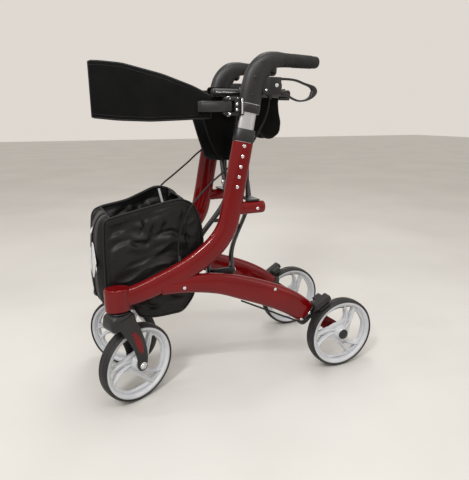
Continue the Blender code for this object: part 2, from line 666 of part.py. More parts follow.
def seat_rail(side, label):
    """Rail that carries one edge of the seat, with its guide rod and the lip the seat hangs from."""
    y = side * PIVOT_Y
    rail = add(label + "_seat_rail", turned("rail", [
        (0.0080, 0), (RAIL_R, 0.002), (RAIL_R, RAIL_TO - RAIL_FROM - 0.002), (0.0080, RAIL_TO - RAIL_FROM)],
        (RAIL_FROM, y, RAIL_Z), (1, 0, 0), 20), "black_tube")
    lip = block("lip", (-0.349, y + side * 0.004, RAIL_Z + 0.0085),
                (-0.158, y - side * (LIP - 0.003), RAIL_Z + LIP_UP + 0.0015), 0.001, 1)
    notches = []
    for front, back in (BARS_A[0], BARS_B[0]), (BARS_B[1], BARS_A[1]):
        wide = back - front + 2 * BAR_HALF_X + 0.0016
        notches.append(turned("notch", [
            (RAIL_R + 0.0001, 0), (0.0134, 0), (0.0134, wide), (RAIL_R + 0.0001, wide)],
            (front - BAR_HALF_X - 0.0008, y, RAIL_Z), (1, 0, 0), 20, closed=True))
    boolean(rail, "UNION", lip, cylinder("rod", (ROD_X, y, RAIL_Z), (ROD_X, y, 0.478), 0.0046, 14))
    boolean(rail, "DIFFERENCE", *notches)


def seat_half(side, label):
    """Half of the slung seat, folded down between the brace bars."""
    pivot = Vector((0, side * (PIVOT_Y - LIP), RAIL_Z + LIP_UP))
    inward = Vector((0, -side * math.cos(SEAT_SLOPE), -math.sin(SEAT_SLOPE)))
    above = Vector((0, -side * math.sin(SEAT_SLOPE), math.cos(SEAT_SLOPE)))

    def place(u, v, offset):
        return pivot + Vector((u, 0, 0)) + inward * v + above * offset

    outline = [(-0.350, 0.003), (-0.359, 0.060), (-0.355, 0.115), (-0.342, 0.160), (-0.208, 0.160),
               (-0.177, 0.143), (-0.160, 0.115), (-0.156, 0.080), (-0.158, 0.003)]
    add(label + "_seat_half", slab("seat", outline, -0.0015, 0.0015, place), "nylon")


# --- Backrest ------------------------------------------------------------------------------------

def back_place(side):
    """Places a point by its distance along the folded band, its height and its outward offset."""
    hinge = Vector((BACK_HINGE[0], side * FRAME_Y, 0))
    forward = Vector((-math.cos(BACK_ANGLE), -side * math.sin(BACK_ANGLE), 0))
    outward = Vector((-math.sin(BACK_ANGLE), side * math.cos(BACK_ANGLE), 0))
    return lambda u, v, offset: hinge + forward * u + outward * offset + Vector((0, 0, v))


def backrest(side, label):
    """Hinge bracket on the collar, the moulded arm on its pin, and half of the band."""
    y, (hx, hz) = side * FRAME_Y, BACK_HINGE
    bracket = add(label + "_backrest_bracket", block(
        "bracket", (hx - 0.011, y - 0.011, hz - 0.021), (-0.2960, y + 0.011, hz + 0.021), 0.004),
        "black_plastic")
    boolean(bracket, "DIFFERENCE",
            block("gap", (hx - 0.03, y - 0.02, hz - 0.0125), (hx + 0.013, y + 0.02, hz + 0.0125)),
            column_tube("clear", side, -0.13, -0.03, 0.0286, 0.03))
    boolean(bracket, "UNION", cylinder("hinge_pin", (hx, y, hz - 0.0190), (hx, y, hz + 0.0190), 0.0035, 14))
    place = back_place(side)
    outline = [(0.0105 * math.cos(math.radians(a)) * -1, 0.0105 * math.sin(math.radians(a)))
               for a in range(-75, 76, 25)]
    outline += [(0.056, 0.0070), (0.070, 0.0045), (0.070, -0.0025), (0.056, -0.0045)]
    arm = add(label + "_backrest_arm", rings("arm", [
        [place(u, hz + dz, w) for u, w in outline] for dz in (-0.0120, 0.0120)]), "black_plastic")
    boolean(arm, "DIFFERENCE", cylinder("arm_bore", (hx, y, hz - 0.02), (hx, y, hz + 0.02), 0.0039, 14))
    band = [(0.040, 0.690), (0.180, 0.6830), (0.304, 0.6900), (0.311, 0.694), (0.311, 0.808),
            (0.304, 0.813), (0.240, 0.808), (0.150, 0.785), (0.080, 0.758), (0.040, 0.738)]
    add(label + "_backrest_half", slab("band", band, -0.0112, -0.0067, place), "nylon")


# --- Bag -----------------------------------------------------------------------------------------

BAG_SIDE_OUTLINE = [(-0.628, 0.285), (-0.577, 0.262), (-0.550, 0.2125), (-0.500, 0.2065),
                    (-0.440, 0.2110), (-0.408, 0.255), (-0.388, 0.345), (-0.379, 0.415),
                    (-0.390, 0.465), (-0.420, 0.500), (-0.520, 0.488), (-0.606, 0.476),
                    (-0.628, 0.455)]


def bag(side, label):
    """One half of the bag: an open tub of cloth, in an outer part and a middle part."""
    middle = Vector((-0.515, 0.35))

    def shrunk(by):
        inner = []
        for x, z in BAG_SIDE_OUTLINE:
            away = Vector((x, z)) - middle
            inner.append(tuple(middle + away * (1 - by / away.length)))
        return inner

    def tub(name, y_in, y_out, wall):
        shell = add(name, plate("shell", BAG_SIDE_OUTLINE, side * y_in, side * y_out), "nylon")
        hollow = shrunk(0.0030)
        hollow = [(x, z + (0.05 if z > 0.47 else 0)) for x, z in hollow]
        boolean(shell, "DIFFERENCE",
                plate("hollow", hollow, side * (y_in - 0.01), side * (y_out - wall)))

    tub(label + "_bag_side", 0.0300, 0.0820, 0.003)
    tub(label + "_bag_middle", 0.0006, 0.0296, -0.01)


def build():
    start_scene()
    meshes = wheel_meshes()
    for side, label in ((-1, "left"), (1, "right")):
        side_frame(side, label)
        column_bush(side, label)
        brace_bracket(side, label, BARS_A if side < 0 else BARS_B)
        guide_plate(side, label)
        leg_cap(side, label)
        wheel_carrier(side, label)
        brake_unit(side, label)
        wheel(label + "_rear", (0, side * (FRAME_Y + REAR_WHEEL_OUT), WHEEL_R), 0, meshes)
        hub_cap(side, label)
        caster(side, label, meshes)
        handle(side, label)
        brake_lever(side, label)
        cables(side, label)
        seat_rail(side, label)
        seat_half(side, label)
        backrest(side, label)
        bag(side, label)
    brace("brace_from_left", -1, BARS_A, False)
    brace("brace_from_right", 1, BARS_B, True)


build()
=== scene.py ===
"""The look of the folded four-wheeled walker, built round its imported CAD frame.

Units are metres in the row frame. Most sizes are written from the rear axle and the middle plane, as in
the CAD, and X0 moves them into place. Side -1 is the left frame, which is the near one.
"""

import json
import math

import bmesh
import bpy
import numpy as np
from mathutils import Matrix, Vector, noise
from mathutils.geometry import tessellate_polygon


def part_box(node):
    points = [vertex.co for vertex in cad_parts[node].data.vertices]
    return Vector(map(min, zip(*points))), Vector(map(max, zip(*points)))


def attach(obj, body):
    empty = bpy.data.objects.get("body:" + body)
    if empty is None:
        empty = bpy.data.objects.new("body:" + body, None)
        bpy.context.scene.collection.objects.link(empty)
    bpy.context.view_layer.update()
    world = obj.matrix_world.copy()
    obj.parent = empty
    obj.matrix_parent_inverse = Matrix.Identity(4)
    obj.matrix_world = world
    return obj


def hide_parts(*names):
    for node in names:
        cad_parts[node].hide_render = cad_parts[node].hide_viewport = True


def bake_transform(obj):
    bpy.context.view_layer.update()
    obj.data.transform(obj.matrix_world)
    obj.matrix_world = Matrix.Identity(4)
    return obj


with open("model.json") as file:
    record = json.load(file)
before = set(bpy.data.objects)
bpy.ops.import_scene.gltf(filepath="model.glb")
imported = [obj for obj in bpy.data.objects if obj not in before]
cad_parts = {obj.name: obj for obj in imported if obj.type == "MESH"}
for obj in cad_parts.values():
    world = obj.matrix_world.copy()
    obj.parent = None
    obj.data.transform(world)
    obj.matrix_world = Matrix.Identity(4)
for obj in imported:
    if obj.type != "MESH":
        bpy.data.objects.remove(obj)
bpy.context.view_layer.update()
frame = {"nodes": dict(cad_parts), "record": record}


def middle_of(node):
    low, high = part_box(node)
    return (Vector(low) + Vector(high)) / 2


X0 = middle_of("left_rear_wheel").x
FRAME_Y = 0.1125
WHEEL_OUT = 0.035
WHEEL_R = 0.100
STEM_X, TRAIL = -0.605, 0.042
SWIVEL = {-1: math.radians(24), 1: math.radians(-38)}
COLUMN_TOP = Vector((-0.2875, 0.635))
COLUMN_DOWN = Vector((-0.185, -0.983)).normalized()
PIVOT_Y, PIVOT_Z, BRACE_LENGTH = 0.0775, 0.303, 0.47
RAIL_Z = PIVOT_Z + math.sqrt(BRACE_LENGTH**2 - (2 * PIVOT_Y) ** 2)
LABEL = {-1: "left", 1: "right"}

# --- Materials ---------------------------------------------------------------------------------


class Paint:
    """A material made of nodes, on object coordinates."""

    def __init__(self, name, colour, roughness, metallic=0.0, coat=0.0, coat_roughness=0.05, sheen=0.0,
                 specular=0.5):
        self.material = bpy.data.materials.new(name)
        self.material.use_nodes = True
        self.tree = self.material.node_tree
        self.shader = self.tree.nodes["Principled BSDF"]
        self.coords = self.tree.nodes.new("ShaderNodeTexCoord").outputs["Object"]
        self.normal = None
        for socket, value in (("Base Color", (*colour, 1)), ("Roughness", roughness),
                              ("Metallic", metallic), ("Coat Weight", coat),
                              ("Coat Roughness", coat_roughness), ("Sheen Weight", sheen),
                              ("Specular IOR Level", specular)):
            self.shader.inputs[socket].default_value = value
        self.name, self.colour = name, colour

    def node(self, kind, **values):
        made = self.tree.nodes.new(kind)
        for key, value in values.items():
            if key in made.inputs:
                made.inputs[key].default_value = value
            else:
                setattr(made, key, value)
        return made

    def link(self, start, end):
        self.tree.links.new(start, end)

    def noise(self, scale, detail=3.0, stretch=(1, 1, 1)):
        mapping = self.node("ShaderNodeMapping")
        mapping.inputs["Scale"].default_value = stretch
        self.link(self.coords, mapping.inputs["Vector"])
        made = self.node("ShaderNodeTexNoise", Scale=scale, Detail=detail)
        self.link(mapping.outputs["Vector"], made.inputs["Vector"])
        return made.outputs["Fac"]

    def weave(self, pitch, axes):
        """Threads crossing in the plane of two axes, as a height from 0 to 1."""
        split = self.node("ShaderNodeSeparateXYZ")
        self.link(self.coords, split.inputs["Vector"])
        heights = []
        for axis in axes:
            turn = self.node("ShaderNodeMath", operation="MULTIPLY")
            turn.inputs[1].default_value = math.pi / pitch
            self.link(split.outputs[axis], turn.inputs[0])
            sine = self.node("ShaderNodeMath", operation="SINE")
            self.link(turn.outputs[0], sine.inputs[0])
            heights.append(sine.outputs[0])
        both = self.node("ShaderNodeMath", operation="MULTIPLY")
        self.link(heights[0], both.inputs[0])
        self.link(heights[1], both.inputs[1])
        return both.outputs[0]

    def vary_colour(self, height, other, low=0.35, high=0.65):
        ramp = self.node("ShaderNodeMapRange")
        for socket, value in (("From Min", low), ("From Max", high)):
            ramp.inputs[socket].default_value = value
        self.link(height, ramp.inputs["Value"])
        mix = self.node("ShaderNodeMix", data_type="RGBA")
        mix.inputs[6].default_value = (*self.colour, 1)
        mix.inputs[7].default_value = (*other, 1)
        self.link(ramp.outputs["Result"], mix.inputs[0])
        self.link(mix.outputs[2], self.shader.inputs["Base Color"])
        return self

    def vary_roughness(self, height, low, high):
        ramp = self.node("ShaderNodeMapRange")
        for socket, value in (("From Min", 0.3), ("From Max", 0.7), ("To Min", low), ("To Max", high)):
            ramp.inputs[socket].default_value = value
        self.link(height, ramp.inputs["Value"])
        self.link(ramp.outputs["Result"], self.shader.inputs["Roughness"])
        return self

    def bump(self, height, strength, distance):
        made = self.node("ShaderNodeBump", Strength=strength, Distance=distance)
        self.link(height, made.inputs["Height"])
        if self.normal:
            self.link(self.normal, made.inputs["Normal"])
        self.normal = made.outputs["Normal"]
        self.link(self.normal, self.shader.inputs["Normal"])
        return self


def make_materials():
    red = Paint("candy_red", (0.125, 0.0003, 0.0010), 0.28, 0.10, coat=0.50, coat_roughness=0.03,
                specular=0.10)
    red.vary_colour(red.noise(9), (0.155, 0.0006, 0.0018))
    red.bump(red.noise(420, 2), 0.05, 0.0002)
    plastic = Paint("moulded_black", (0.0062, 0.0062, 0.0068), 0.42, specular=0.45)
    plastic.vary_colour(plastic.noise(14), (0.0100, 0.0100, 0.0106))
    plastic.vary_roughness(plastic.noise(35), 0.34, 0.50)
    plastic.bump(plastic.noise(1400, 2), 0.30, 0.0003)
    rubber = Paint("grip_rubber", (0.0100, 0.0100, 0.0104), 0.68, specular=0.4)
    rubber.vary_roughness(rubber.noise(60), 0.62, 0.82)
    rubber.bump(rubber.noise(900, 3), 0.35, 0.0004)
    silver = Paint("satin_aluminium", (0.62, 0.63, 0.65), 0.30, 1.0)
    silver.vary_roughness(silver.noise(260, 2, (1, 1, 0.04)), 0.22, 0.40)
    silver.bump(silver.noise(800, 2, (1, 1, 0.03)), 0.10, 0.0002)
    chrome = Paint("bright_steel", (0.74, 0.75, 0.77), 0.16, 1.0)
    chrome.vary_roughness(chrome.noise(300), 0.10, 0.26)
    tube = Paint("black_tube", (0.0150, 0.0150, 0.0165), 0.34, 0.2, coat=0.5, coat_roughness=0.18)
    tube.vary_roughness(tube.noise(50), 0.28, 0.42)
    tube.bump(tube.noise(500, 2), 0.06, 0.0002)
    grey = Paint("wheel_grey", (0.47, 0.485, 0.51), 0.42)
    grey.vary_colour(grey.noise(22, 4), (0.54, 0.555, 0.58))
    grey.vary_roughness(grey.noise(50), 0.34, 0.50)
    grey.bump(grey.noise(1200, 2), 0.12, 0.0002)
    tyre = Paint("tyre_rubber", (0.0105, 0.0105, 0.0110), 0.46, specular=0.35)
    tyre.vary_colour(tyre.noise(30, 5), (0.0190, 0.0183, 0.0175))
    tyre.vary_roughness(tyre.noise(40, 4), 0.42, 0.72)
    tyre.bump(tyre.noise(700, 4), 0.25, 0.0004)
    nylon = Paint("bag_nylon", (0.0038, 0.0037, 0.0038), 0.42, sheen=0.02, specular=0.26)
    nylon.vary_colour(nylon.noise(18, 4), (0.0070, 0.0067, 0.0065))
    nylon.vary_roughness(nylon.noise(25, 4), 0.34, 0.52)
    nylon.bump(nylon.weave(0.0011, ("X", "Z")), 0.30, 0.0003)
    nylon.bump(nylon.noise(95, 4), 0.35, 0.0022)
    band = Paint("band_fabric", (0.0040, 0.0039, 0.0040), 0.88, sheen=0.01, specular=0.08)
    band.vary_colour(band.noise(16, 4), (0.0062, 0.0060, 0.0061))
    band.bump(band.weave(0.0014, ("X", "Z")), 0.35, 0.0003)
    band.bump(band.noise(60, 3), 0.12, 0.0015)
    piping = Paint("piping", (0.005, 0.005, 0.0055), 0.6, specular=0.3)
    piping.bump(piping.noise(900, 2), 0.4, 0.0004)
    thread = Paint("thread", (0.011, 0.011, 0.0115), 0.75, specular=0.3)
    thread.bump(thread.noise(2500, 2), 0.4, 0.0002)
    cable = Paint("cable_sleeve", (0.006, 0.006, 0.0064), 0.42, specular=0.25)
    cable.vary_roughness(cable.noise(80), 0.30, 0.46)
    reflector = Paint("reflective_tape", (0.62, 0.63, 0.64), 0.35, 0.2)
    reflector.bump(reflector.weave(0.0022, ("X", "Z")), 0.25, 0.0003)
    floor = Paint("floor", (0.55, 0.540, 0.515), 0.48)
    floor.vary_colour(floor.noise(1.6, 4), (0.60, 0.590, 0.565))
    paints = (red, plastic, rubber, silver, chrome, tube, grey, tyre, nylon, band, piping, thread, cable,
              reflector, floor)
    return {paint.name: paint.material for paint in paints}


MATERIALS = make_materials()

# --- Mesh tools ----------------------------------------------------------------------------------

AXIS = 0.0001  # radius of a turned profile where it meets its own axis


def smooth_path(points, steps, closed=False):
    """Points on a Catmull-Rom curve through the given ones."""
    points = [Vector(p) for p in points]
    if closed:
        padded = [points[-1], *points, points[0], points[1]]
    else:
        padded = [2 * points[0] - points[1], *points, 2 * points[-1] - points[-2]]
    path = []
    for a, b, c, d in zip(padded, padded[1:], padded[2:], padded[3:]):
        for i in range(steps):
            t = i / steps
            path.append((2 * b + (c - a) * t + (2 * a - 5 * b + 4 * c - d) * t**2
                         + (3 * b - a - 3 * c + d) * t**3) / 2)
    return path if closed else [*path, points[-1]]


def turns(count):
    """The angles of equally spaced points round a circle."""
    return [2 * math.pi * k / count for k in range(count)]


def finish(bm, name):
    """The mesh of bm, its faces turned outwards."""
    bmesh.ops.recalc_face_normals(bm, faces=bm.faces)
    mesh = bpy.data.meshes.new(name)
    bm.to_mesh(mesh)
    bm.free()
    return mesh


def skin(loops, ring=False):
    """A mesh through loops of equally many points: capped, or joined end to end."""
    bm = bmesh.new()
    made = [[bm.verts.new(p) for p in loop] for loop in loops]
    count = len(made[0])
    pairs = list(zip(made, made[1:])) + ([(made[-1], made[0])] if ring else [])
    for low, high in pairs:
        for i in range(count):
            j = (i + 1) % count
            bm.faces.new((low[i], low[j], high[j], high[i]))
    if not ring:
        bm.faces.new(made[0])
        bm.faces.new(list(reversed(made[-1])))
    return finish(bm, "skin")


def oval(deep, thick, segments, squareness=2.3):
    """A flattened circle: 2 is an ellipse, and higher squareness is squarer."""
    points = []
    for a in turns(segments):
        c, s = math.cos(a), math.sin(a)
        points.append((math.copysign(abs(c) ** (2 / squareness), c) * deep,
                       math.copysign(abs(s) ** (2 / squareness), s) * thick))
    return points


def oval_tube(stations, y, steps=6, segments=36, squareness=2.3, closed=False):
    """An oval tube along stations (x, z, half depth, half thickness) in the plane at y."""
    path = smooth_path(stations, steps, closed) if steps > 1 else [Vector(s) for s in stations]
    loops = []
    for i, (x, z, deep, thick) in enumerate(path):
        if closed:
            before, after = path[i - 1], path[(i + 1) % len(path)]
        else:
            before, after = path[max(i - 1, 0)], path[min(i + 1, len(path) - 1)]
        along = Vector((after[0] - before[0], 0, after[1] - before[1])).normalized()
        across = Vector((-along.z, 0, along.x))
        loops.append([Vector((x, y + v, z)) + across * u
                      for u, v in oval(deep, thick, segments, squareness)])
    return skin(loops, ring=closed)


def column_point(distance):
    """A point on the column's middle line, that far below its top."""
    return COLUMN_TOP + COLUMN_DOWN * distance


def path_tube(points, radius, segments=12, steps=4, closed=False, flat=1.0):
    """A round tube on a smooth line through points in space."""
    path = smooth_path(points, steps, closed)
    loops, up = [], None
    for i, p in enumerate(path):
        after = path[(i + 1) % len(path)] if closed or i < len(path) - 1 else p
        before = path[i - 1] if closed or i else p
        along = (after - before).normalized()
        if up is None:
            up = along.orthogonal().normalized()
        up = (up - along * up.dot(along)).normalized()
        side = along.cross(up)
        loops.append([p + up * radius * math.cos(a) + side * radius * flat * math.sin(a)
                      for a in turns(segments)])
    return skin(loops, ring=closed)


def lathe(profile, centre, axis, segments=64, closed=False):
    """A profile of (radius, offset along the axis) turned round the axis."""
    turn = Vector(axis).to_track_quat("Z", "Y").to_matrix()
    loops = []
    for a in turns(segments):
        loops.append([Vector(centre) + turn @ Vector((r * math.cos(a), r * math.sin(a), h))
                      for r, h in profile])
    bm = bmesh.new()
    made = [[bm.verts.new(p) for p in loop] for loop in loops]
    count = len(profile)
    for k in range(segments):
        here, there = made[k], made[(k + 1) % segments]
        for i in range(count if closed else count - 1):
            j = (i + 1) % count
            bm.faces.new((here[i], here[j], there[j], there[i]))
    if not closed:
        bm.faces.new([loop[0] for loop in made])
        bm.faces.new([loop[-1] for loop in reversed(made)])
    return finish(bm, "lathe")


def rounded(profile, by=0.25, steps=2):
    """The profile with each inner corner cut to a small round."""
    made = [profile[0]]
    for a, b, c in zip(profile, profile[1:], profile[2:]):
        a, b, c = Vector(a), Vector(b), Vector(c)
        start, end = b + (a - b) * by, b + (c - b) * by
        for k in range(steps + 1):
            t = k / steps
            made.append(tuple(start * (1 - t) ** 2 + b * 2 * t * (1 - t) + end * t**2))
    return [*made, profile[-1]]


def block(low, high, bevel, segments=3):
    """A box between two corners, its edges rounded."""
    low, high = Vector(map(min, low, high)), Vector(map(max, low, high))
    bm = bmesh.new()
    bmesh.ops.create_cube(bm, size=1)
    bmesh.ops.scale(bm, vec=high - low, verts=bm.verts)
    bmesh.ops.translate(bm, vec=(low + high) / 2, verts=bm.verts)
    bmesh.ops.bevel(bm, geom=list(bm.edges), offset=bevel, segments=segments, profile=0.5,
                    affect="EDGES")
    return finish(bm, "block")


def plate(outline, y_low, y_high, bevel):
    """A flat plate of (x, z) points with its rim edges rounded."""
    bm = bmesh.new()
    low = [bm.verts.new((x, y_low, z)) for x, z in outline]
    high = [bm.verts.new((x, y_high, z)) for x, z in outline]
    rims = [bm.faces.new(low), bm.faces.new(list(reversed(high)))]
    for i in range(len(low)):
        j = (i + 1) % len(low)
        bm.faces.new((low[i], low[j], high[j], high[i]))
    edges = {edge for face in rims for edge in face.edges}
    bmesh.ops.bevel(bm, geom=list(edges), offset=bevel, segments=2, profile=0.5, affect="EDGES")
    return finish(bm, "plate")


def moved(mesh, matrix):
    mesh.transform(matrix)
    return mesh


def piece(name, meshes, material, body=None, replaces=(), angle=40):
    """One visual object from these meshes, smooth-shaded, which rides on the body."""
    bm = bmesh.new()
    for mesh in meshes:
        bm.from_mesh(mesh)
    mesh = bpy.data.meshes.new(name)
    bm.to_mesh(mesh)
    bm.free()
    mesh.transform(Matrix.Translation((X0, 0, 0)))
    mesh.materials.append(MATERIALS[material])
    mesh.shade_smooth()
    mesh.set_sharp_from_angle(angle=math.radians(angle))
    obj = bpy.data.objects.new(name, mesh)
    bpy.context.scene.collection.objects.link(obj)
    if replaces:
        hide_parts(*replaces)
    if body:
        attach(obj, body)
    return obj


def screw(centre, axis, radius=0.0042, height=0.0016, socket=True):
    """A button-head screw, with a round socket or with a plain dome."""
    if socket:
        shares = ((None, 0.25), (0.40, 0.25), (0.42, 1), (0.62, 0.92), (0.88, 0.6))
    else:
        shares = ((None, 1), (0.55, 0.92), (0.85, 0.6))
    profile = [(radius * r if r else AXIS, height * h) for r, h in shares]
    return [lathe([*profile, (radius, height * 0.15), (radius, -0.0008)], centre, axis, 20)]


# --- Wheels --------------------------------------------------------------------------------------

WEB_SWEEP = 450  # degrees per metre of radius


def polar(points, turn):
    """Polar points (radius, degrees), turned, and swept back towards the rim."""
    made = []
    for radius, angle in points:
        a = math.radians(angle + turn + WEB_SWEEP * (radius - 0.055))
        made.append((radius * math.cos(a), radius * math.sin(a)))
    return made


def perforated(outlines, half, bevel):
    """A disc plate round the Z axis with openings, the rims of which are rounded."""
    flat = [[Vector((x, y, 0)) for x, y in outline] for outline in outlines]
    bm = bmesh.new()
    low, high = ([bm.verts.new((p.x, p.y, z)) for outline in flat for p in outline]
                 for z in (-half, half))
    for i, j, k in tessellate_polygon(flat):
        bm.faces.new((low[i], low[j], low[k]))
        bm.faces.new((high[i], high[k], high[j]))
    rims, first = [], 0
    for outline in flat:
        count = len(outline)
        for i in range(count):
            a, b = first + i, first + (i + 1) % count
            bm.faces.new((low[a], low[b], high[b], high[a]))
            rims += [bm.edges.get((low[a], low[b])), bm.edges.get((high[a], high[b]))]
        first += count
    bmesh.ops.bevel(bm, geom=rims, offset=bevel, segments=2, profile=0.5, affect="EDGES")
    return finish(bm, "web")


def mirrored(half):
    """A profile and its reflection on the other side of the wheel's middle plane."""
    return half + [(r, -h) for r, h in reversed(half)]


def wheel_shapes():
    """The tyre and the spoked wheel about the origin, turning about Y."""
    half = [(0.0926, 0.0148), (0.0936, 0.0166), (0.0948, 0.0174), (0.0962, 0.0170), (0.0966, 0.0158),
            (0.0976, 0.0149), (0.0988, 0.0128), (0.0994, 0.0100), (0.0997, 0.0078), (0.0989, 0.0071),
            (0.0989, 0.0060), (0.0999, 0.0053), (0.1000, 0.0020)]
    tyre = lathe(mirrored(half), (0, 0, 0), (0, 1, 0), 112, closed=True)
    half = [(0.0924, 0.0146), (0.0905, 0.0152), (0.0880, 0.0152), (0.0862, 0.0144), (0.0850, 0.0122),
            (0.0838, 0.0100), (0.0822, 0.0094)]
    rim = lathe(mirrored(half), (0, 0, 0), (0, 1, 0), 112, closed=True)
    wide = [(0.0290, 0), (0.0330, -24), (0.0400, -38), (0.0580, -44.5), (0.0700, -43.5), (0.0760, -34),
            (0.0775, 0), (0.0760, 34), (0.0700, 43.5), (0.0580, 44.5), (0.0400, 38), (0.0330, 24)]
    narrow = [(0.0400, 60), (0.0560, 56.5), (0.0730, 52), (0.0765, 54), (0.0770, 60), (0.0765, 66),
              (0.0730, 68), (0.0560, 63.5)]
    ring = [(math.cos(a), math.sin(a)) for a in turns(96)]
    outlines = [[(0.0835 * x, 0.0835 * y) for x, y in ring],
                [(0.0120 * x, 0.0120 * y) for x, y in ring[::3]]]
    for turn in (0, 120, 240):
        for opening, steps in ((wide, 5), (narrow, 4)):
            curve = smooth_path([(*p, 0) for p in polar(opening, turn)], steps, closed=True)
            outlines.append([(p.x, p.y) for p in curve])
    web = perforated(outlines, 0.0062, 0.0014)
    ribs = []
    for turn in (0, 120, 240):
        for low, high in ((47.5, 48.0), (72.5, 72.0)):
            for face in (-1, 1):
                line = [(r, low + (high - low) * (r - 0.019) / 0.064)
                        for r in (0.019, 0.030, 0.042, 0.054, 0.066, 0.076, 0.083)]
                ribs.append(path_tube([(x, y, face * 0.0060) for x, y in polar(line, turn)],
                                      0.0030, 10, 4))
    upright = Matrix.Rotation(math.radians(90), 4, "X")
    for mesh in (web, *ribs):
        mesh.transform(upright)
    hub = lathe(rounded([(0.0062, -0.0184), (0.0150, -0.0184), (0.0172, -0.0150), (0.0205, -0.0085),
                         (0.0225, -0.0060), (0.0225, 0.0060), (0.0205, 0.0085), (0.0172, 0.0150),
                         (0.0150, 0.0184), (0.0062, 0.0184)], 0.2), (0, 0, 0), (0, 1, 0), 48)
    return tyre, [rim, web, hub, *ribs]


def place_wheel(name, shapes, centre, turn, body):
    """One wheel with its tyre at the centre, turned about the upright axis."""
    tyre, wheel = shapes
    matrix = Matrix.Translation(centre) @ Matrix.Rotation(turn, 4, "Z")
    for kind, meshes, material, angle in (("_tyre", [tyre], "tyre_rubber", 38),
                                          ("_wheel", wheel, "wheel_grey", 42)):
        copies = [moved(mesh.copy(), matrix) for mesh in meshes]
        piece(name + kind + "_skin", copies, material, body, [name + kind], angle)


# --- Frames --------------------------------------------------------------------------------------

TUBE_DEEP, TUBE_THICK, LEG_THICK = 0.026, 0.015, 0.0146  # halves of the oval tubes
LEG_END = Vector((-0.095, 0.163))
LEG_ALONG = Vector((0.786, -0.618)).normalized()


def side_frame(side):
    """Column, front arm, rear leg, caster head and seat rest, with their welds and bolts."""
    label, y = LABEL[side], side * FRAME_Y
    straight = [(*column_point(d), TUBE_DEEP) for d in (0.001, 0.083, 0.157)]
    bent = [(-0.332, 0.424, 0.0265), (-0.369, 0.377, 0.027), (-0.430, 0.336, 0.0265), (-0.510, 0.303, 0.025),
            (-0.565, 0.286, 0.0235), (STEM_X, 0.281, 0.0225)]
    main = oval_tube([(*station, TUBE_THICK) for station in straight + bent], y, 8, 48)
    line = [(-0.500, 0.2975, 0.022), (-0.430, 0.2955, 0.0235), (-0.350, 0.2835, 0.0275),
            (-0.280, 0.2605, 0.0315), (-0.200, 0.2285, 0.0335), (-0.140, 0.1965, 0.0335), (*LEG_END, 0.032)]
    leg = oval_tube([(*station, LEG_THICK) for station in line], y, 8, 48)
    head = lathe(rounded([(AXIS, 0.0002), (0.0205, 0.0002), (0.0222, 0.0022), (0.0225, 0.008),
                          (0.0225, 0.050), (0.0216, 0.0555), (0.0185, 0.0568), (AXIS, 0.0570)], 0.3),
                 (0, 0, 0.252), (0, 0, 1), 64)
    for vertex in head.vertices:
        vertex.co.x = STEM_X + vertex.co.x * 1.32
        vertex.co.y += y
    rest = oval_tube([(-0.312, 0.4735, 0.0155, 0.0115), (-0.244, 0.4744, 0.0155, 0.0115),
                      (-0.236, 0.4745, 0.0154, 0.0114), (-0.231, 0.4746, 0.0143, 0.0106),
                      (-0.2285, 0.4747, 0.0110, 0.0080), (-0.2280, 0.4747, 0.0040, 0.0030)], y, 1, 40)
    bead = [(-0.2868 + 0.0006 * math.cos(a), y + 0.0118 * math.cos(a), 0.4742 + 0.0158 * math.sin(a))
            for a in turns(16)]
    weld = path_tube(bead, 0.0013, 8, 2, closed=True)
    piece(label + "_frame_skin", [main, leg, head, rest, weld], "candy_red", label + "_frame",
          [label + "_side_frame"], 50)
    trim = []
    for k in range(5):
        x, z = column_point(0.010 + k * 0.0245)
        trim += screw((x, side * (FRAME_Y + 0.0149), z), (0, side, 0), 0.0040, 0.0012, socket=False)
    for x, z, out, r in ((-0.446, 0.290, 0.0144, 0.0045), (-0.198, 0.250, 0.0144, 0.0045),
                         (-0.251, 0.4725, 0.0112, 0.0042)):
        trim += screw((x, side * (FRAME_Y + out), z), (0, side, 0), r, 0.0018)
    piece(label + "_frame_bolts", trim, "bright_steel", label + "_frame")


def column_fittings(side):
    """Bush, inner height tube, collar with its bright lines."""
    label, y = LABEL[side], side * FRAME_Y

    def along(*stations):
        """An oval tube on the column's line through stations (distance, half depth, half thickness)."""
        return oval_tube([(*column_point(d), deep, thick) for d, deep, thick in stations], y, 1, 48)

    def band(top, bottom, deep, thick):
        return along((top, deep, thick), (bottom, deep, thick))

    bush = along((-0.0294, 0.0250, 0.0145), (-0.0280, 0.0262, 0.0156), (-0.0020, 0.0266, 0.0159),
                 (-0.0004, 0.0262, 0.0156))
    piece(label + "_bush_skin", [bush], "moulded_black", label + "_frame", [label + "_column_bush"])
    piece(label + "_height_tube_skin", [band(-0.1180, 0.1420, 0.0211, 0.0111)], "satin_aluminium",
          label + "_handle", [label + "_height_tube"])
    collar = along((-0.0874, 0.0268, 0.0170), (-0.0862, 0.0278, 0.0178), (-0.0684, 0.0278, 0.0178),
                   (-0.0671, 0.0268, 0.0170))
    piece(label + "_collar_skin", [collar], "moulded_black", label + "_handle", [label + "_collar"])
    lines = [band(-0.0881, -0.0872, 0.0274, 0.0174), band(-0.0673, -0.0664, 0.0262, 0.0164)]
    piece(label + "_collar_lines", lines, "bright_steel", label + "_handle")


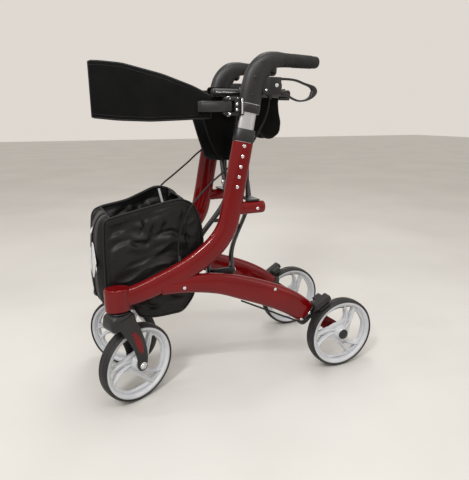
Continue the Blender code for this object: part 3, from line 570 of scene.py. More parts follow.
def rear_end(side):
    """Leg clamp, wheel carrier, axle stub, hub cap and their bolts."""
    label, y = LABEL[side], side * FRAME_Y
    body = label + "_frame"
    start = LEG_END + LEG_ALONG * 0.0006
    clamp = oval_tube([(*(start + LEG_ALONG * d), deep, thick) for d, deep, thick in (
        (0, 0.0345, 0.0165), (0.0008, 0.0358, 0.0177), (0.0025, 0.0369, 0.0184), (0.0130, 0.0369, 0.0184),
        (0.0150, 0.0356, 0.0176), (0.0158, 0.0335, 0.0160))], y, 1, 48)
    piece(label + "_clamp_skin", [clamp], "moulded_black", body, [label + "_leg_clamp"])
    outline = [(-0.0780, 0.1400), (-0.0590, 0.1660), (-0.0350, 0.1480), (-0.0120, 0.1310)]
    for k in range(19):
        a = math.radians(55 - 12.5 * k)
        outline.append((0.0188 * math.cos(a), WHEEL_R + 0.0188 * math.sin(a)))
    outline += [(-0.0180, 0.0965), (-0.0320, 0.1010), (-0.0500, 0.1160)]
    carrier = plate(outline, side * (FRAME_Y - 0.0034), side * (FRAME_Y + 0.0034), 0.0014)
    boss = lathe([(AXIS, 0.0002), (0.0110, 0.0002), (0.0120, 0.0012), (0.0120, 0.0040),
                  (AXIS, 0.0040)], (0, side * (FRAME_Y + 0.0030), WHEEL_R), (0, side, 0), 32)
    piece(label + "_carrier_skin", [carrier, boss], "candy_red", body, [label + "_wheel_carrier"])
    stub = lathe([(AXIS, 0), (0.0058, 0), (0.0058, 0.0540), (AXIS, 0.0540)],
                 (0, side * FRAME_Y, WHEEL_R), (0, side, 0), 24)
    bolts = [stub]
    for x, z, out in ((-0.0905, 0.1640, 0.0182), (-0.1130, 0.1480, 0.0144)):
        bolts += screw((x, side * (FRAME_Y + out), z), (0, side, 0), 0.0050, 0.0020)
    bolts += screw((0, side * (FRAME_Y - 0.0034), WHEEL_R), (0, -side, 0), 0.0070, 0.0030)
    piece(label + "_rear_bolts", bolts, "bright_steel", body)
    face = side * (FRAME_Y + WHEEL_OUT + 0.0187)
    cap = lathe(rounded([(AXIS, 0.0068), (0.0080, 0.0066), (0.0125, 0.0052), (0.0144, 0.0030),
                         (0.0146, 0.0001), (AXIS, 0.0001)], 0.3), (0, face, WHEEL_R), (0, side, 0), 48)
    piece(label + "_cap_skin", [cap], "moulded_black", label + "_rear_wheel_body", [label + "_hub_cap"])
    ring = lathe([(0.0145, 0.0002), (0.0162, 0.0004), (0.0164, 0.0014), (0.0156, 0.0022),
                  (0.0145, 0.0022)], (0, face, WHEEL_R), (0, side, 0), 48, closed=True)
    piece(label + "_cap_ring", [ring], "satin_aluminium", label + "_rear_wheel_body")


CROWN_X, CROWN_LOW, CROWN_HEIGHT = 0.001, 0.2068, 0.0422


def caster(side, shapes):
    """Fork with its crown, blades, red inserts and axle bolts, and the front wheel."""
    label = LABEL[side]
    matrix = Matrix.Translation((STEM_X, side * FRAME_Y, 0)) @ Matrix.Rotation(SWIVEL[side], 4, "Z")
    crown = block((-0.0335, -0.0288, CROWN_LOW), (0.0355, 0.0288, 0.2490), 0.0135, 6)
    for vertex in crown.vertices:
        taper = 1 - 0.16 * ((vertex.co.z - CROWN_LOW) / CROWN_HEIGHT) ** 2
        vertex.co.x = CROWN_X + (vertex.co.x - CROWN_X) * taper
        vertex.co.y *= taper
    blades = [oval_tube([(0.003, 0.238, 0.0215, 0.0040), (0.011, 0.214, 0.0225, 0.0042),
                         (0.028, 0.180, 0.0195, 0.0042), (0.039, 0.146, 0.0170, 0.0042),
                         (0.0435, 0.120, 0.0150, 0.0042), (TRAIL, WHEEL_R, 0.0136, 0.0042),
                         (TRAIL + 0.0040, 0.0905, 0.0105, 0.0040), (TRAIL + 0.0055, 0.0872, 0.0050, 0.0030)],
                        v, 6, 32, 3.2)
              for v in (-0.0248, 0.0248)]
    bearing = lathe([(AXIS, 0), (0.0255, 0), (0.0262, 0.0008), (0.0255, 0.0018), (AXIS, 0.0018)],
                    (0, 0, 0.2492), (0, 0, 1), 48)
    fork = [moved(mesh, matrix) for mesh in (crown, *blades, bearing)]
    piece(label + "_fork_skin", fork, "moulded_black", label + "_caster", [label + "_caster_fork"], 45)
    inserts, bolts = [], []
    for way in (-1, 1):
        line = [(0.0190, 0.1980, 0.0040), (0.0300, 0.1740, 0.0088), (0.0375, 0.1500, 0.0078),
                (0.0402, 0.1360, 0.0034)]
        inserts.append(oval_tube([(*station, 0.0012) for station in line], way * 0.0289, 6, 24, 2.6))
        centre = (TRAIL, way * 0.0288, WHEEL_R)
        bolts += screw(centre, (0, way, 0), 0.0068, 0.0026)
        bolts.append(lathe([(0.0068, -0.001), (0.0092, -0.001), (0.0092, 0.0007), (0.0068, 0.0009)],
                           centre, (0, way, 0), 32, closed=True))
    bolts.append(lathe([(AXIS, -0.028), (0.0050, -0.028), (0.0050, 0.028), (AXIS, 0.028)],
                       (TRAIL, 0, WHEEL_R), (0, 1, 0), 20))
    piece(label + "_fork_inserts", [moved(m, matrix) for m in inserts], "candy_red", label + "_caster")
    piece(label + "_axle_bolts", [moved(m, matrix) for m in bolts], "bright_steel", label + "_caster")
    centre = matrix @ Vector((TRAIL, 0, WHEEL_R))
    place_wheel(label + "_front", shapes, centre, SWIVEL[side], label + "_front_wheel_body")


# --- Handles -------------------------------------------------------------------------------------

LEVER_X, LEVER_Z = -0.2060, 0.7640
RIBS_FROM, RIBS_LENGTH = -0.1590, 0.0486


def handle(side):
    """J-shaped housing with its lever mount, ribbed grip, screws and slot."""
    label, y = LABEL[side], side * FRAME_Y
    body = label + "_handle"
    housing = oval_tube([(*column_point(-0.0886), 0.0268, 0.0170), (*column_point(-0.1260), 0.0272, 0.0172),
                         (-0.2520, 0.7890, 0.0278, 0.0170), (-0.2320, 0.8115, 0.0245, 0.0164),
                         (-0.2080, 0.8205, 0.0190, 0.0156), (-0.1885, 0.8212, 0.0163, 0.0149)],
                        y, 10, 56, 2.2)
    back = block((-0.2420, y - 0.0113, 0.7425), (-0.2215, y + 0.0113, 0.7825), 0.0045)
    cheeks = [block((-0.2260, y + way * 0.0068, 0.7425), (-0.1935, y + way * 0.0113, 0.7825), 0.0018)
              for way in (-1, 1)]
    nub = oval_tube([(-0.2190, 0.8065, 0.0105, 0.0095), (-0.2120, 0.7990, 0.0098, 0.0090),
                     (-0.2075, 0.7945, 0.0070, 0.0066), (-0.2060, 0.7930, 0.0030, 0.0030)], y, 5, 24, 2.4)
    foot = oval_tube([(-0.2210, 0.7470, 0.0070, 0.0060), (-0.2165, 0.7395, 0.0052, 0.0050),
                      (-0.2155, 0.7330, 0.0042, 0.0042)], y * 0.965, 4, 20)
    piece(label + "_housing_skin", [housing, back, *cheeks, nub, foot], "moulded_black", body,
          [label + "_handle_housing"], 45)
    grip = oval_tube([(-0.1875, 0.8212, 0.0150, 0.0138), (-0.1866, 0.8212, 0.0160, 0.0147),
                      (-0.1500, 0.8205, 0.0150, 0.0142), (-0.1190, 0.8198, 0.0142, 0.0138),
                      (-0.0990, 0.8194, 0.0138, 0.0136), (-0.0935, 0.8192, 0.0122, 0.0121),
                      (-0.0905, 0.8191, 0.0085, 0.0086), (-0.0896, 0.8191, 0.0030, 0.0030)],
                     y, 8, 48, 2.2)
    ribs = []
    for k in range(10):
        x = RIBS_FROM + 0.0054 * k
        t = (x - RIBS_FROM) / RIBS_LENGTH
        deep, thick = 0.0151 - 0.0010 * t, 0.0143 - 0.0006 * t
        ring = [(x, y + (thick + 0.0001) * math.sin(a), 0.8206 - 0.0010 * t + (deep + 0.0001) * math.cos(a))
                for a in turns(28)]
        ribs.append(path_tube(ring, 0.0008, 8, 1, closed=True, flat=1.3))
    piece(label + "_grip_skin", [grip, *ribs], "grip_rubber", body, [label + "_grip"], 60)
    slot = block((-0.2490, y + side * 0.0155, 0.8120), (-0.2210, y + side * 0.0161, 0.8142), 0.0004, 2)
    seam = path_tube([(-0.1880, y + 0.0150 * math.sin(a), 0.8212 + 0.0164 * math.cos(a))
                      for a in turns(28)], 0.0006, 6, 1, closed=True)
    piece(label + "_housing_marks", [slot, seam], "piping", body)
    bolts = []
    for x, z, r in ((-0.2640, 0.7790, 0.0048), (-0.2705, 0.7400, 0.0036)):
        bolts += screw((x, y + side * 0.0168, z), (0, side, 0), r, 0.0013)
    piece(label + "_housing_screws", bolts, "moulded_black", body)
    pin = []
    for way in (-1, 1):
        pin += screw((LEVER_X, y + way * 0.0112, LEVER_Z), (0, way, 0), 0.0048, 0.0016)
        pin += screw((-0.2330, y + way * 0.0112, 0.7530), (0, way, 0), 0.0030, 0.0012)
    piece(label + "_lever_pin_heads", pin, "bright_steel", body)


def lever(side):
    """Flat closed loop, wide at its end, with its boss and the web between them."""
    label, y = LABEL[side], side * FRAME_Y
    loop = oval_tube([
        (-0.2060, 0.7785, 0.0048, 0.0058), (-0.1925, 0.7792, 0.0032, 0.0054),
        (-0.1650, 0.7788, 0.0027, 0.0052), (-0.1460, 0.7762, 0.0026, 0.0052),
        (-0.1280, 0.7705, 0.0026, 0.0053), (-0.1110, 0.7655, 0.0034, 0.0056),
        (-0.1010, 0.7600, 0.0062, 0.0060), (-0.0975, 0.7530, 0.0084, 0.0060),
        (-0.1010, 0.7455, 0.0072, 0.0060), (-0.1085, 0.7375, 0.0040, 0.0057),
        (-0.1230, 0.7312, 0.0024, 0.0053), (-0.1410, 0.7300, 0.0022, 0.0052),
        (-0.1580, 0.7352, 0.0023, 0.0052), (-0.1690, 0.7408, 0.0026, 0.0052),
        (-0.1830, 0.7455, 0.0036, 0.0054), (-0.1960, 0.7530, 0.0044, 0.0056),
        (-0.2075, 0.7640, 0.0046, 0.0058), (-0.2100, 0.7730, 0.0046, 0.0058)], y, 6, 24, 2.8, closed=True)
    boss = lathe(rounded([(AXIS, -0.0060), (0.0110, -0.0060), (0.0119, -0.0050), (0.0119, 0.0050),
                          (0.0110, 0.0060), (AXIS, 0.0060)], 0.3), (LEVER_X, y, LEVER_Z), (0, 1, 0), 40)
    web = block((-0.2040, y - 0.0050, 0.7560), (-0.1880, y + 0.0050, 0.7700), 0.003)
    piece(label + "_lever_skin", [loop, boss, web], "moulded_black", label + "_lever",
          [label + "_brake_lever"], 50)


# --- Cables --------------------------------------------------------------------------------------

CABLE_RADIUS = 0.0023
CABLE_LOW = {
    -1: [(-0.2680, 0.0928, 0.6120), (-0.3150, 0.0928, 0.5740), (-0.3650, 0.0928, 0.5350),
         (-0.4100, 0.0928, 0.4880), (-0.4400, 0.0940, 0.4350), (-0.4520, 0.1020, 0.3850),
         (-0.4520, 0.1110, 0.3580)],
    1: [(-0.2700, 0.0928, 0.6400), (-0.3310, 0.0928, 0.6000), (-0.3660, 0.0928, 0.5710),
        (-0.4060, 0.0928, 0.5400), (-0.4460, 0.0928, 0.5080), (-0.4740, 0.0930, 0.4600),
        (-0.4850, 0.0960, 0.4000), (-0.4820, 0.1105, 0.3450)],
}


def cables(side):
    """The brake cable: a long loop from the handle into the front arm, then along under the leg."""
    label = LABEL[side]
    upper = [(-0.2160, 0.1080, 0.7395), (-0.2190, 0.1020, 0.7050), (-0.2330, 0.0945, 0.6650)]
    points = [(x, side * y, z) for x, y, z in upper + CABLE_LOW[side]]
    obj = piece(label + "_upper_cable_skin", [path_tube(points, CABLE_RADIUS, 12, 8)], "cable_sleeve", None,
                [label + "_upper_cable"])
    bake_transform(obj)
    lower = [(-0.2900, 0.1125, 0.2265), (-0.2550, 0.1125, 0.2085), (-0.2050, 0.1140, 0.1830),
             (-0.1500, 0.1200, 0.1560), (-0.1150, 0.1290, 0.1430), (-0.0900, 0.1370, 0.1560),
             (-0.0800, 0.1430, 0.1780)]
    points_low = [(x, side * y, z) for x, y, z in lower]
    obj = piece(label + "_lower_cable_skin", [path_tube(points_low, CABLE_RADIUS, 12, 8)], "cable_sleeve",
                label + "_frame", [label + "_lower_cable"])
    end = Vector(points[-1])
    ferrules = [lathe([(AXIS, -0.006), (0.0044, -0.006), (0.0044, 0.002), (0.0032, 0.008), (AXIS, 0.008)],
                      end + Vector((0, 0, 0.002)), (0, -side * 0.2, 1), 20)]
    tip = Vector(points_low[-1])
    ferrules.append(lathe([(AXIS, -0.008), (0.0032, -0.008), (0.0040, -0.002), (0.0040, 0.003),
                           (AXIS, 0.003)], tip, (0.35, side * 0.2, 0.9), 20))
    piece(label + "_ferrules", ferrules, "moulded_black", label + "_frame")


# --- Cross brace and seat rails ------------------------------------------------------------------

BARS = {-1: (-0.292, -0.227), 1: (-0.281, -0.238)}
BRACE_SWEEP = -0.074
RAIL_FROM, RAIL_TO = -0.353, -0.148
ROD_X = -0.260


def sweep(distance):
    """How far forwards a brace bar is bent, at a distance along it."""
    t = min(max((BRACE_LENGTH / 2 - 0.035 - distance) / 0.175, 0), 1)
    return BRACE_SWEEP * t * t * (3 - 2 * t)


def brace(side, name, body):
    """Two flat bars with rounded edges, their tie rods, and the heads of their pins."""
    low = Vector((0, side * PIVOT_Y, PIVOT_Z))
    high = Vector((0, -side * PIVOT_Y, RAIL_Z))
    along = (high - low).normalized()
    across = Vector((0, -along.z, along.y))
    meshes = []
    for x in BARS[side]:
        loops = []
        for i in range(61):
            d = -0.0098 + (BRACE_LENGTH + 0.0098 + 0.0123) * i / 60
            half = 0.0085
            if d < 0.004:
                half = math.sqrt(max(0.0100**2 - min(d, 0) ** 2, 2e-6))
            elif d < 0.020:
                half = 0.0100 - 0.0015 * (d - 0.004) / 0.016
            top = BRACE_LENGTH - d
            if top < 0.026:
                half = 0.0085 + 0.0040 * min(1, (0.026 - top) / 0.016)
            if top < 0.010:
                half = math.sqrt(max(0.0125**2 - min(top, 0) ** 2, 2e-6))
            centre = low + along * d + Vector((x + sweep(d), 0, 0))
            loop = []
            for dx, dw in oval(0.0045, half, 20, 6):
                loop.append(centre + Vector((dx, 0, 0)) + across * dw)
            loops.append(loop)
        meshes.append(skin(loops))
    for d in (0.115, 0.350):
        at, x = low + along * d, sweep(d)
        meshes.append(path_tube([(BARS[side][0] + x, at.y, at.z), (BARS[side][1] + x, at.y, at.z)],
                                0.0053, 20, 1))
    piece(name + "_skin", meshes, "black_tube", body, [name], 50)
    middle = low + along * BRACE_LENGTH / 2
    heads = []
    if side > 0:
        for way, x in ((-1, BARS[-1][0] - 0.0075), (1, BARS[-1][1] + 0.0075)):
            heads += screw((x - way * 0.0025, middle.y, middle.z), (way, 0, 0), 0.0075, 0.0030)
    for way, x in ((-1, BARS[side][0]), (1, BARS[side][1])):
        heads += screw((x + BRACE_SWEEP + way * 0.0070, low.y, low.z), (way, 0, 0), 0.0050, 0.0016)
    piece(name + "_heads", heads, "bright_steel", body)


def rail(side):
    """Seat rail with plastic end plugs, its polished guide rod, and a thin bright strip along its outer side
    as a painted highlight.
    """
    label, y, body = LABEL[side], side * PIVOT_Y, LABEL[side] + "_rail"
    tube = lathe([(AXIS, 0), (0.0098, 0), (0.0098, 0.197), (AXIS, 0.197)],
                 (RAIL_FROM + 0.004, y, RAIL_Z), (1, 0, 0), 40)
    piece(label + "_rail_skin", [tube], "black_tube", body, [label + "_seat_rail"])
    plugs = [lathe(rounded([(AXIS, -0.0040), (0.0080, -0.0040), (0.0100, -0.0020), (0.0100, 0.0030),
                            (AXIS, 0.0030)], 0.3), (x, y, RAIL_Z), (way, 0, 0), 32)
             for x, way in ((RAIL_FROM + 0.004, 1), (RAIL_TO - 0.004, -1))]
    shoe = block((ROD_X - 0.010, y - 0.0095, RAIL_Z - 0.0105), (ROD_X + 0.010, y + 0.0095, RAIL_Z - 0.0060),
                 0.003)
    stop = lathe(rounded([(AXIS, 0), (0.0062, 0), (0.0068, 0.0010), (0.0068, 0.0050), (AXIS, 0.0056)],
                         0.3), (ROD_X, y, 0.4780), (0, 0, 1), 24)
    piece(label + "_rail_plugs", [*plugs, shoe, stop], "moulded_black", body)
    rod = lathe([(AXIS, 0), (0.0044, 0), (0.0044, RAIL_Z - 0.480), (AXIS, RAIL_Z - 0.480)],
                (ROD_X, y, 0.4790), (0, 0, 1), 24)
    piece(label + "_rod_skin", [rod], "black_tube", body)
    # Painted highlight: a thin bright aluminium strip at mid-height on the rail's outer side stands in for
    # the reflection on the glossy tube.
    line = block((-0.3460, side * 0.0868, RAIL_Z + 0.0002), (-0.1850, side * 0.0881, RAIL_Z + 0.0018),
                 0.0004, 2)
    foot = block((-0.1780, side * 0.0800, RAIL_Z - 0.0150), (-0.1500, side * 0.0860, RAIL_Z - 0.0085),
                 0.0015, 2)
    piece(label + "_rail_painted_highlight", [line], "satin_aluminium", body)
    piece(label + "_rail_foot", [foot], "moulded_black", body)


# --- Cloth ---------------------------------------------------------------------------------------

def between(table, t):
    """Straight-line reading of a table of (t, value)."""
    if t <= table[0][0]:
        return table[0][1]
    for (a, va), (b, vb) in zip(table, table[1:]):
        if t <= b:
            return va + (vb - va) * (t - a) / (b - a)
    return table[-1][1]


def eased(table, t):
    """The same reading, with its corners rounded."""
    span = (table[-1][0] - table[0][0]) * 0.03
    return sum(between(table, t + span * k) for k in (-1, -0.5, 0, 0.5, 1)) / 5


def sheet_of(rows, thickness):
    """Cloth with two faces and a rim, from rows of points."""
    height, width = len(rows), len(rows[0])
    bm = bmesh.new()
    faces = []
    for way in (1, -1):
        layer = []
        for i in range(height):
            line = []
            for j in range(width):
                du = rows[i][min(j + 1, width - 1)] - rows[i][max(j - 1, 0)]
                dv = rows[min(i + 1, height - 1)][j] - rows[max(i - 1, 0)][j]
                line.append(bm.verts.new(rows[i][j] + du.cross(dv).normalized() * way * thickness / 2))
            layer.append(line)
        faces.append(layer)
        for a, b in zip(layer, layer[1:]):
            for j in range(width - 1):
                bm.faces.new((a[j], a[j + 1], b[j + 1], b[j]))
    rim = [(0, j) for j in range(width)] + [(i, width - 1) for i in range(1, height)]
    rim += [(height - 1, j) for j in range(width - 2, -1, -1)] + [(i, 0) for i in range(height - 2, 0, -1)]
    for (a, b), (c, d) in zip(rim, [*rim[1:], rim[0]]):
        bm.faces.new((faces[0][a][b], faces[0][c][d], faces[1][c][d], faces[1][a][b]))
    return finish(bm, "cloth")


def ridged(p, scale, stretch=(1, 1, 1), seed=0.0):
    """Sharp soft folds, from 0 to 1, in the direction that the stretch leaves long."""
    at = Vector((p[0] * stretch[0], p[1] * stretch[1], p[2] * stretch[2])) * scale + Vector((seed, 0, 0))
    return 1 - min(1, abs(noise.noise(at)) * 2.4)


SEAT_SLOPE = math.radians(74.2)
SEAT_LINE = Vector((PIVOT_Y - 0.025, RAIL_Z + 0.0125))  # |y| and z of the line where the seat folds
SEAT_FRONT = {
    -1: [(0, -0.352), (0.035, -0.3600), (0.0725, -0.3603), (0.1154, -0.344), (0.150, -0.3270),
         (0.182, -0.306)],
    1: [(0, -0.352), (0.035, -0.3630), (0.0725, -0.3660), (0.1166, -0.357), (0.156, -0.3480),
        (0.184, -0.343)],
}
SEAT_REAR = [(0, -0.158), (0.031, -0.1625), (0.057, -0.156), (0.083, -0.1465), (0.1046, -0.145),
             (0.118, -0.150), (0.182, -0.165)]
SEAT_DROP = [(0, 0.170), (0.05, 0.177), (0.10, 0.181), (0.45, 0.182), (0.52, 0.181), (0.56, 0.172),
             (0.60, 0.156), (0.64, 0.130), (0.683, 0.1080), (0.72, 0.1090), (0.78, 0.119), (0.83, 0.1245),
             (0.88, 0.126), (0.94, 0.1255), (0.975, 0.121), (1.0, 0.111)]


def seat_point(side, u, v):
    """A point of the seat cloth: u from its front edge to its rear, v down its slope from the fold line,
    or above that line towards the rail where v is negative."""
    x = between(SEAT_FRONT[side], max(v, 0)) * (1 - u) + between(SEAT_REAR, max(v, 0)) * u
    if v < 0:
        out = -v
        rise = -0.0016 * math.cos(min(out, 0.025) / 0.025 * math.pi / 2) + 0.0004
        return Vector((x, side * (SEAT_LINE.x + out), SEAT_LINE.y - 0.0012 - rise * 0.3))
    turn = SEAT_SLOPE * min(1, v / 0.010 + 0.25)
    y = SEAT_LINE.x - v * math.cos(turn)
    z = SEAT_LINE.y - 0.0008 - v * math.sin(turn)
    drop = eased(SEAT_DROP, u)
    free = math.sin(math.pi * min(1, v / drop)) ** 2 if v < drop else 0
    p = Vector((x * 22, v * 9, side * 3.1))
    wave = (0.0030 * noise.noise(p) + 0.0022 * math.sin(u * 17 + side) * min(1, v / 0.05)
            + 0.0016 * ridged((x, v, 0), 26, (1.0, 0.35, 1), 5 * side)) * free
    return Vector((x, side * (y + wave * math.sin(turn)), z + wave * math.cos(turn)))


def seat(side):
    """Half of the slung seat cloth with its bound edge, hanging from the rail."""
    label, across, down = LABEL[side], 88, 44
    rows = []
    for i in range(-6, down + 1):
        row = []
        for j in range(across + 1):
            u = j / across
            v = 0.0245 * i / 6 if i < 0 else eased(SEAT_DROP, u) * (i / down)
            row.append(seat_point(side, u, v))
        rows.append(row)
    if side > 0:
        rows = [list(reversed(row)) for row in rows]
    cloth = piece(label + "_seat_cloth", [sheet_of(rows, 0.0014)], "band_fabric", None,
                  [label + "_seat_half"], 60)
    edge = [row[0] for row in rows[1:]] + rows[-1][1:] + [row[-1] for row in reversed(rows[1:-1])]
    hem = piece(label + "_seat_binding", [path_tube(edge[::2], 0.0013, 8, 1, flat=1.5)], "piping")
    seam = piece(label + "_seat_seam", [path_tube(rows[-3][5:84], 0.0010, 6, 1)], "thread")
    for obj in (cloth, hem, seam):
        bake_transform(obj)


# --- Backrest ------------------------------------------------------------------------------------

BACK_X, BACK_Z, BACK_ANGLE = -0.325, 0.715, math.radians(18.9)
BAND_FROM, BAND_TO = 0.041, 0.3113  # distances along the band
BAND_TOP = [(0.036, 0.7365), (0.080, 0.7590), (0.150, 0.7850), (0.240, 0.8080), (0.290, 0.8125),
            (0.330, 0.8120)]
BAND_LOW = [(0.036, 0.6900), (0.110, 0.6862), (0.180, 0.6832), (0.250, 0.6855), (0.330, 0.6930)]


def back_point(side, u, v, offset):
    """A point by its distance along the band, height and outward offset."""
    forward = Vector((-math.cos(BACK_ANGLE), -side * math.sin(BACK_ANGLE), 0))
    outward = Vector((-math.sin(BACK_ANGLE), side * math.cos(BACK_ANGLE), 0))
    return Vector((BACK_X, side * FRAME_Y, v)) + forward * u + outward * offset


def backrest(side):
    """Half of the padded band with its bound edges and stitching, and the moulded arm that holds it."""
    label = LABEL[side]
    body, count = label + "_backrest", 70
    loops, top, low, lines = [], [], [], [[], []]
    for i in range(count + 1):
        u = BAND_FROM + (BAND_TO - BAND_FROM) * i / count
        high, bottom = eased(BAND_TOP, u), eased(BAND_LOW, u)
        inner = -0.0108 + 0.0046 * max(0.0, (u - 0.24) / 0.0735) ** 2
        loop = []
        for a in turns(40):
            c, s = math.cos(a), math.sin(a)
            v = (high + bottom) / 2 + math.copysign(abs(s) ** 0.34, s) * (high - bottom) / 2
            w = math.copysign(abs(c) ** 0.55, c)
            soft = 1 + 0.30 * (1 - s * s)
            crease = 0.0011 * ridged((u, v, side), 30, (1, 0.45, 1)) * (1 - abs(s))
            loop.append(back_point(side, u, v, inner + w * 0.0034 * soft + crease * (1 if w > 0 else 0)))
        loops.append(loop)
        top.append(back_point(side, u, high + 0.0002, inner))
        low.append(back_point(side, u, bottom - 0.0002, inner))
        lines[0].append(back_point(side, u, high - 0.0075, inner + 0.0036))
        lines[1].append(back_point(side, u, bottom + 0.0075, inner + 0.0036))
    band = piece(label + "_back_band", [skin(loops)], "band_fabric", body, [label + "_backrest_half"], 60)
    edge = [*top, *reversed(low)]
    piece(label + "_back_binding", [path_tube(edge, 0.0027, 10, 1, closed=True, flat=0.85)], "piping", body)
    piece(label + "_back_stitches", [path_tube(line, 0.0006, 6, 1) for line in lines], "thread", body)

    def slab_of(outline, low_z, high_z, bevel):
        """A level slab with its outline in (distance along the band, outward offset)."""
        made = plate(outline, low_z, high_z, bevel)
        for vertex in made.vertices:
            u, z, w = vertex.co
            vertex.co = back_point(side, u, z, w)
        return made

    eye = [(0.0105 * math.cos(math.radians(a)), 0.0105 * math.sin(math.radians(a)))
           for a in range(105, 256, 15)]
    arm = slab_of([*eye, (0.0300, -0.0052), (0.066, -0.0045), (0.070, -0.0025), (0.070, 0.0030),
                   (0.066, 0.0050), (0.056, 0.0070), (0.0200, 0.0085)], BACK_Z - 0.0120, BACK_Z + 0.0120,
                  0.0022)
    panel = slab_of([(0.0240, 0.0060), (0.0240, 0.0084), (0.0600, 0.0078), (0.0640, 0.0060)],
                    BACK_Z - 0.0085, BACK_Z + 0.0085, 0.0012)
    piece(label + "_back_arm_skin", [arm, panel], "moulded_black", body, [label + "_backrest_arm"], 45)


def back_bracket(side):
    """Hinge bracket in two halves about the arm, with its rivets and pin."""
    label, y, body = LABEL[side], side * FRAME_Y, LABEL[side] + "_handle"
    outline = [(-0.3350, 0.6990), (-0.3300, 0.6945), (-0.3040, 0.6945), (-0.2965, 0.7010), (-0.2945, 0.7160),
               (-0.2925, 0.7300), (-0.2965, 0.7360), (-0.3200, 0.7360), (-0.3350, 0.7335)]
    lower = [(x, min(z, 0.7024)) for x, z in outline if z < 0.715]
    lower = [(-0.3360, 0.7024), *lower, (-0.2955, 0.7024)]
    upper = [(-0.3360, 0.7276), (-0.2945, 0.7276), (-0.2945, 0.7350), (-0.2980, 0.7360), (-0.3290, 0.7360),
             (-0.3360, 0.7330)]
    meshes = [plate(list(reversed(upper)), y - 0.0110, y + 0.0110, 0.0018),
              plate(lower, y - 0.0110, y + 0.0110, 0.0018),
              block((-0.3125, y - 0.0110, 0.6995), (-0.2970, y + 0.0110, 0.7305), 0.0020)]
    meshes.append(block((-0.2990, y + side * 0.0080, 0.6960), (-0.2900, y + side * 0.0150, 0.7350), 0.0025))
    piece(label + "_back_bracket_skin", meshes, "moulded_black", body, [label + "_backrest_bracket"], 45)
    rivets = []
    for x, z, r in ((-0.3070, 0.7205, 0.0032), (-0.3070, 0.7085, 0.0032), (-0.3250, 0.6985, 0.0030),
                    (-0.3250, 0.7320, 0.0022), (-0.3060, 0.7335, 0.0020)):
        rivets.append(lathe([(AXIS, 0.0016), (r * 0.7, 0.0013), (r, 0.0003), (r, -0.0008)],
                            (x, y + side * 0.0110, z), (0, side, 0), 16))
    strip = block((-0.2975, y + side * 0.0148, 0.6985), (-0.2935, y + side * 0.0154, 0.7335), 0.0003, 1)
    for z, way in ((BACK_Z + 0.0210, 1), (BACK_Z - 0.0210, -1)):
        rivets += screw((BACK_X, y, z), (0, 0, way), 0.0045, 0.0014)
    piece(label + "_back_rivets", [*rivets, strip], "bright_steel", body)


# --- Bag -----------------------------------------------------------------------------------------

BAG_BOTTOM = [(-0.603, 0.272), (-0.577, 0.261), (-0.562, 0.236), (-0.548, 0.2145), (-0.525, 0.2080),
              (-0.500, 0.2065), (-0.468, 0.2080), (-0.441, 0.2125), (-0.420, 0.235), (-0.408, 0.258)]
BAG_RIM = {-1: [(-0.4310, 0.4990), (-0.4520, 0.4998), (-0.5120, 0.4880), (-0.5590, 0.4775),
                (-0.6050, 0.4668)],
           1: [(-0.4270, 0.5040), (-0.4620, 0.5105), (-0.5040, 0.4950), (-0.5450, 0.4795), (-0.6090, 0.4665)]}
BAG_WALL = {-1: [(-0.6185, 0.4560), (-0.6215, 0.4300), (-0.6235, 0.3950), (-0.6243, 0.3450),
                 (-0.6235, 0.2980), *BAG_BOTTOM, (-0.3980, 0.3000), (-0.3880, 0.3450), (-0.3825, 0.3850),
                 (-0.3840, 0.4150), (-0.3885, 0.4420), (-0.3960, 0.4680), (-0.4090, 0.4880)],
            1: [(-0.6290, 0.4530), (-0.6350, 0.4250), (-0.6368, 0.3850), (-0.6376, 0.3300),
                (-0.6350, 0.2900), *BAG_BOTTOM, (-0.3980, 0.3000), (-0.3880, 0.3450), (-0.3825, 0.3850),
                (-0.3840, 0.4150), (-0.3885, 0.4420), (-0.3950, 0.4660), (-0.4060, 0.4880)]}
BAG_RIM[0] = [((a[0] + b[0]) / 2, (a[1] + b[1]) / 2) for a, b in zip(BAG_RIM[-1], BAG_RIM[1])]
BAG_WALL[0] = [(-0.6250, 0.4545), (-0.6330, 0.4280), (-0.6375, 0.3900), (-0.6405, 0.3350),
               (-0.6400, 0.2800), (-0.6330, 0.2420), (-0.6120, 0.2270), (-0.5870, 0.2185),
               (-0.5600, 0.2130), (-0.5280, 0.2085), *BAG_BOTTOM[5:], *BAG_WALL[-1][15:]]
BAG_FLAT = Vector((-0.507, 0.350))
WALL_ROWS, CORNER_ROWS, PANEL_ROWS = 44, 5, 48
OUTLINE_STEPS = 9
RIM_END = (len(BAG_RIM[-1]) - 1) * OUTLINE_STEPS  # number of the outline's point where the wall starts
FOLD_FROM, FOLD_WIDTH = 0.034, 0.043  # where the wall folds inwards, from the middle plane
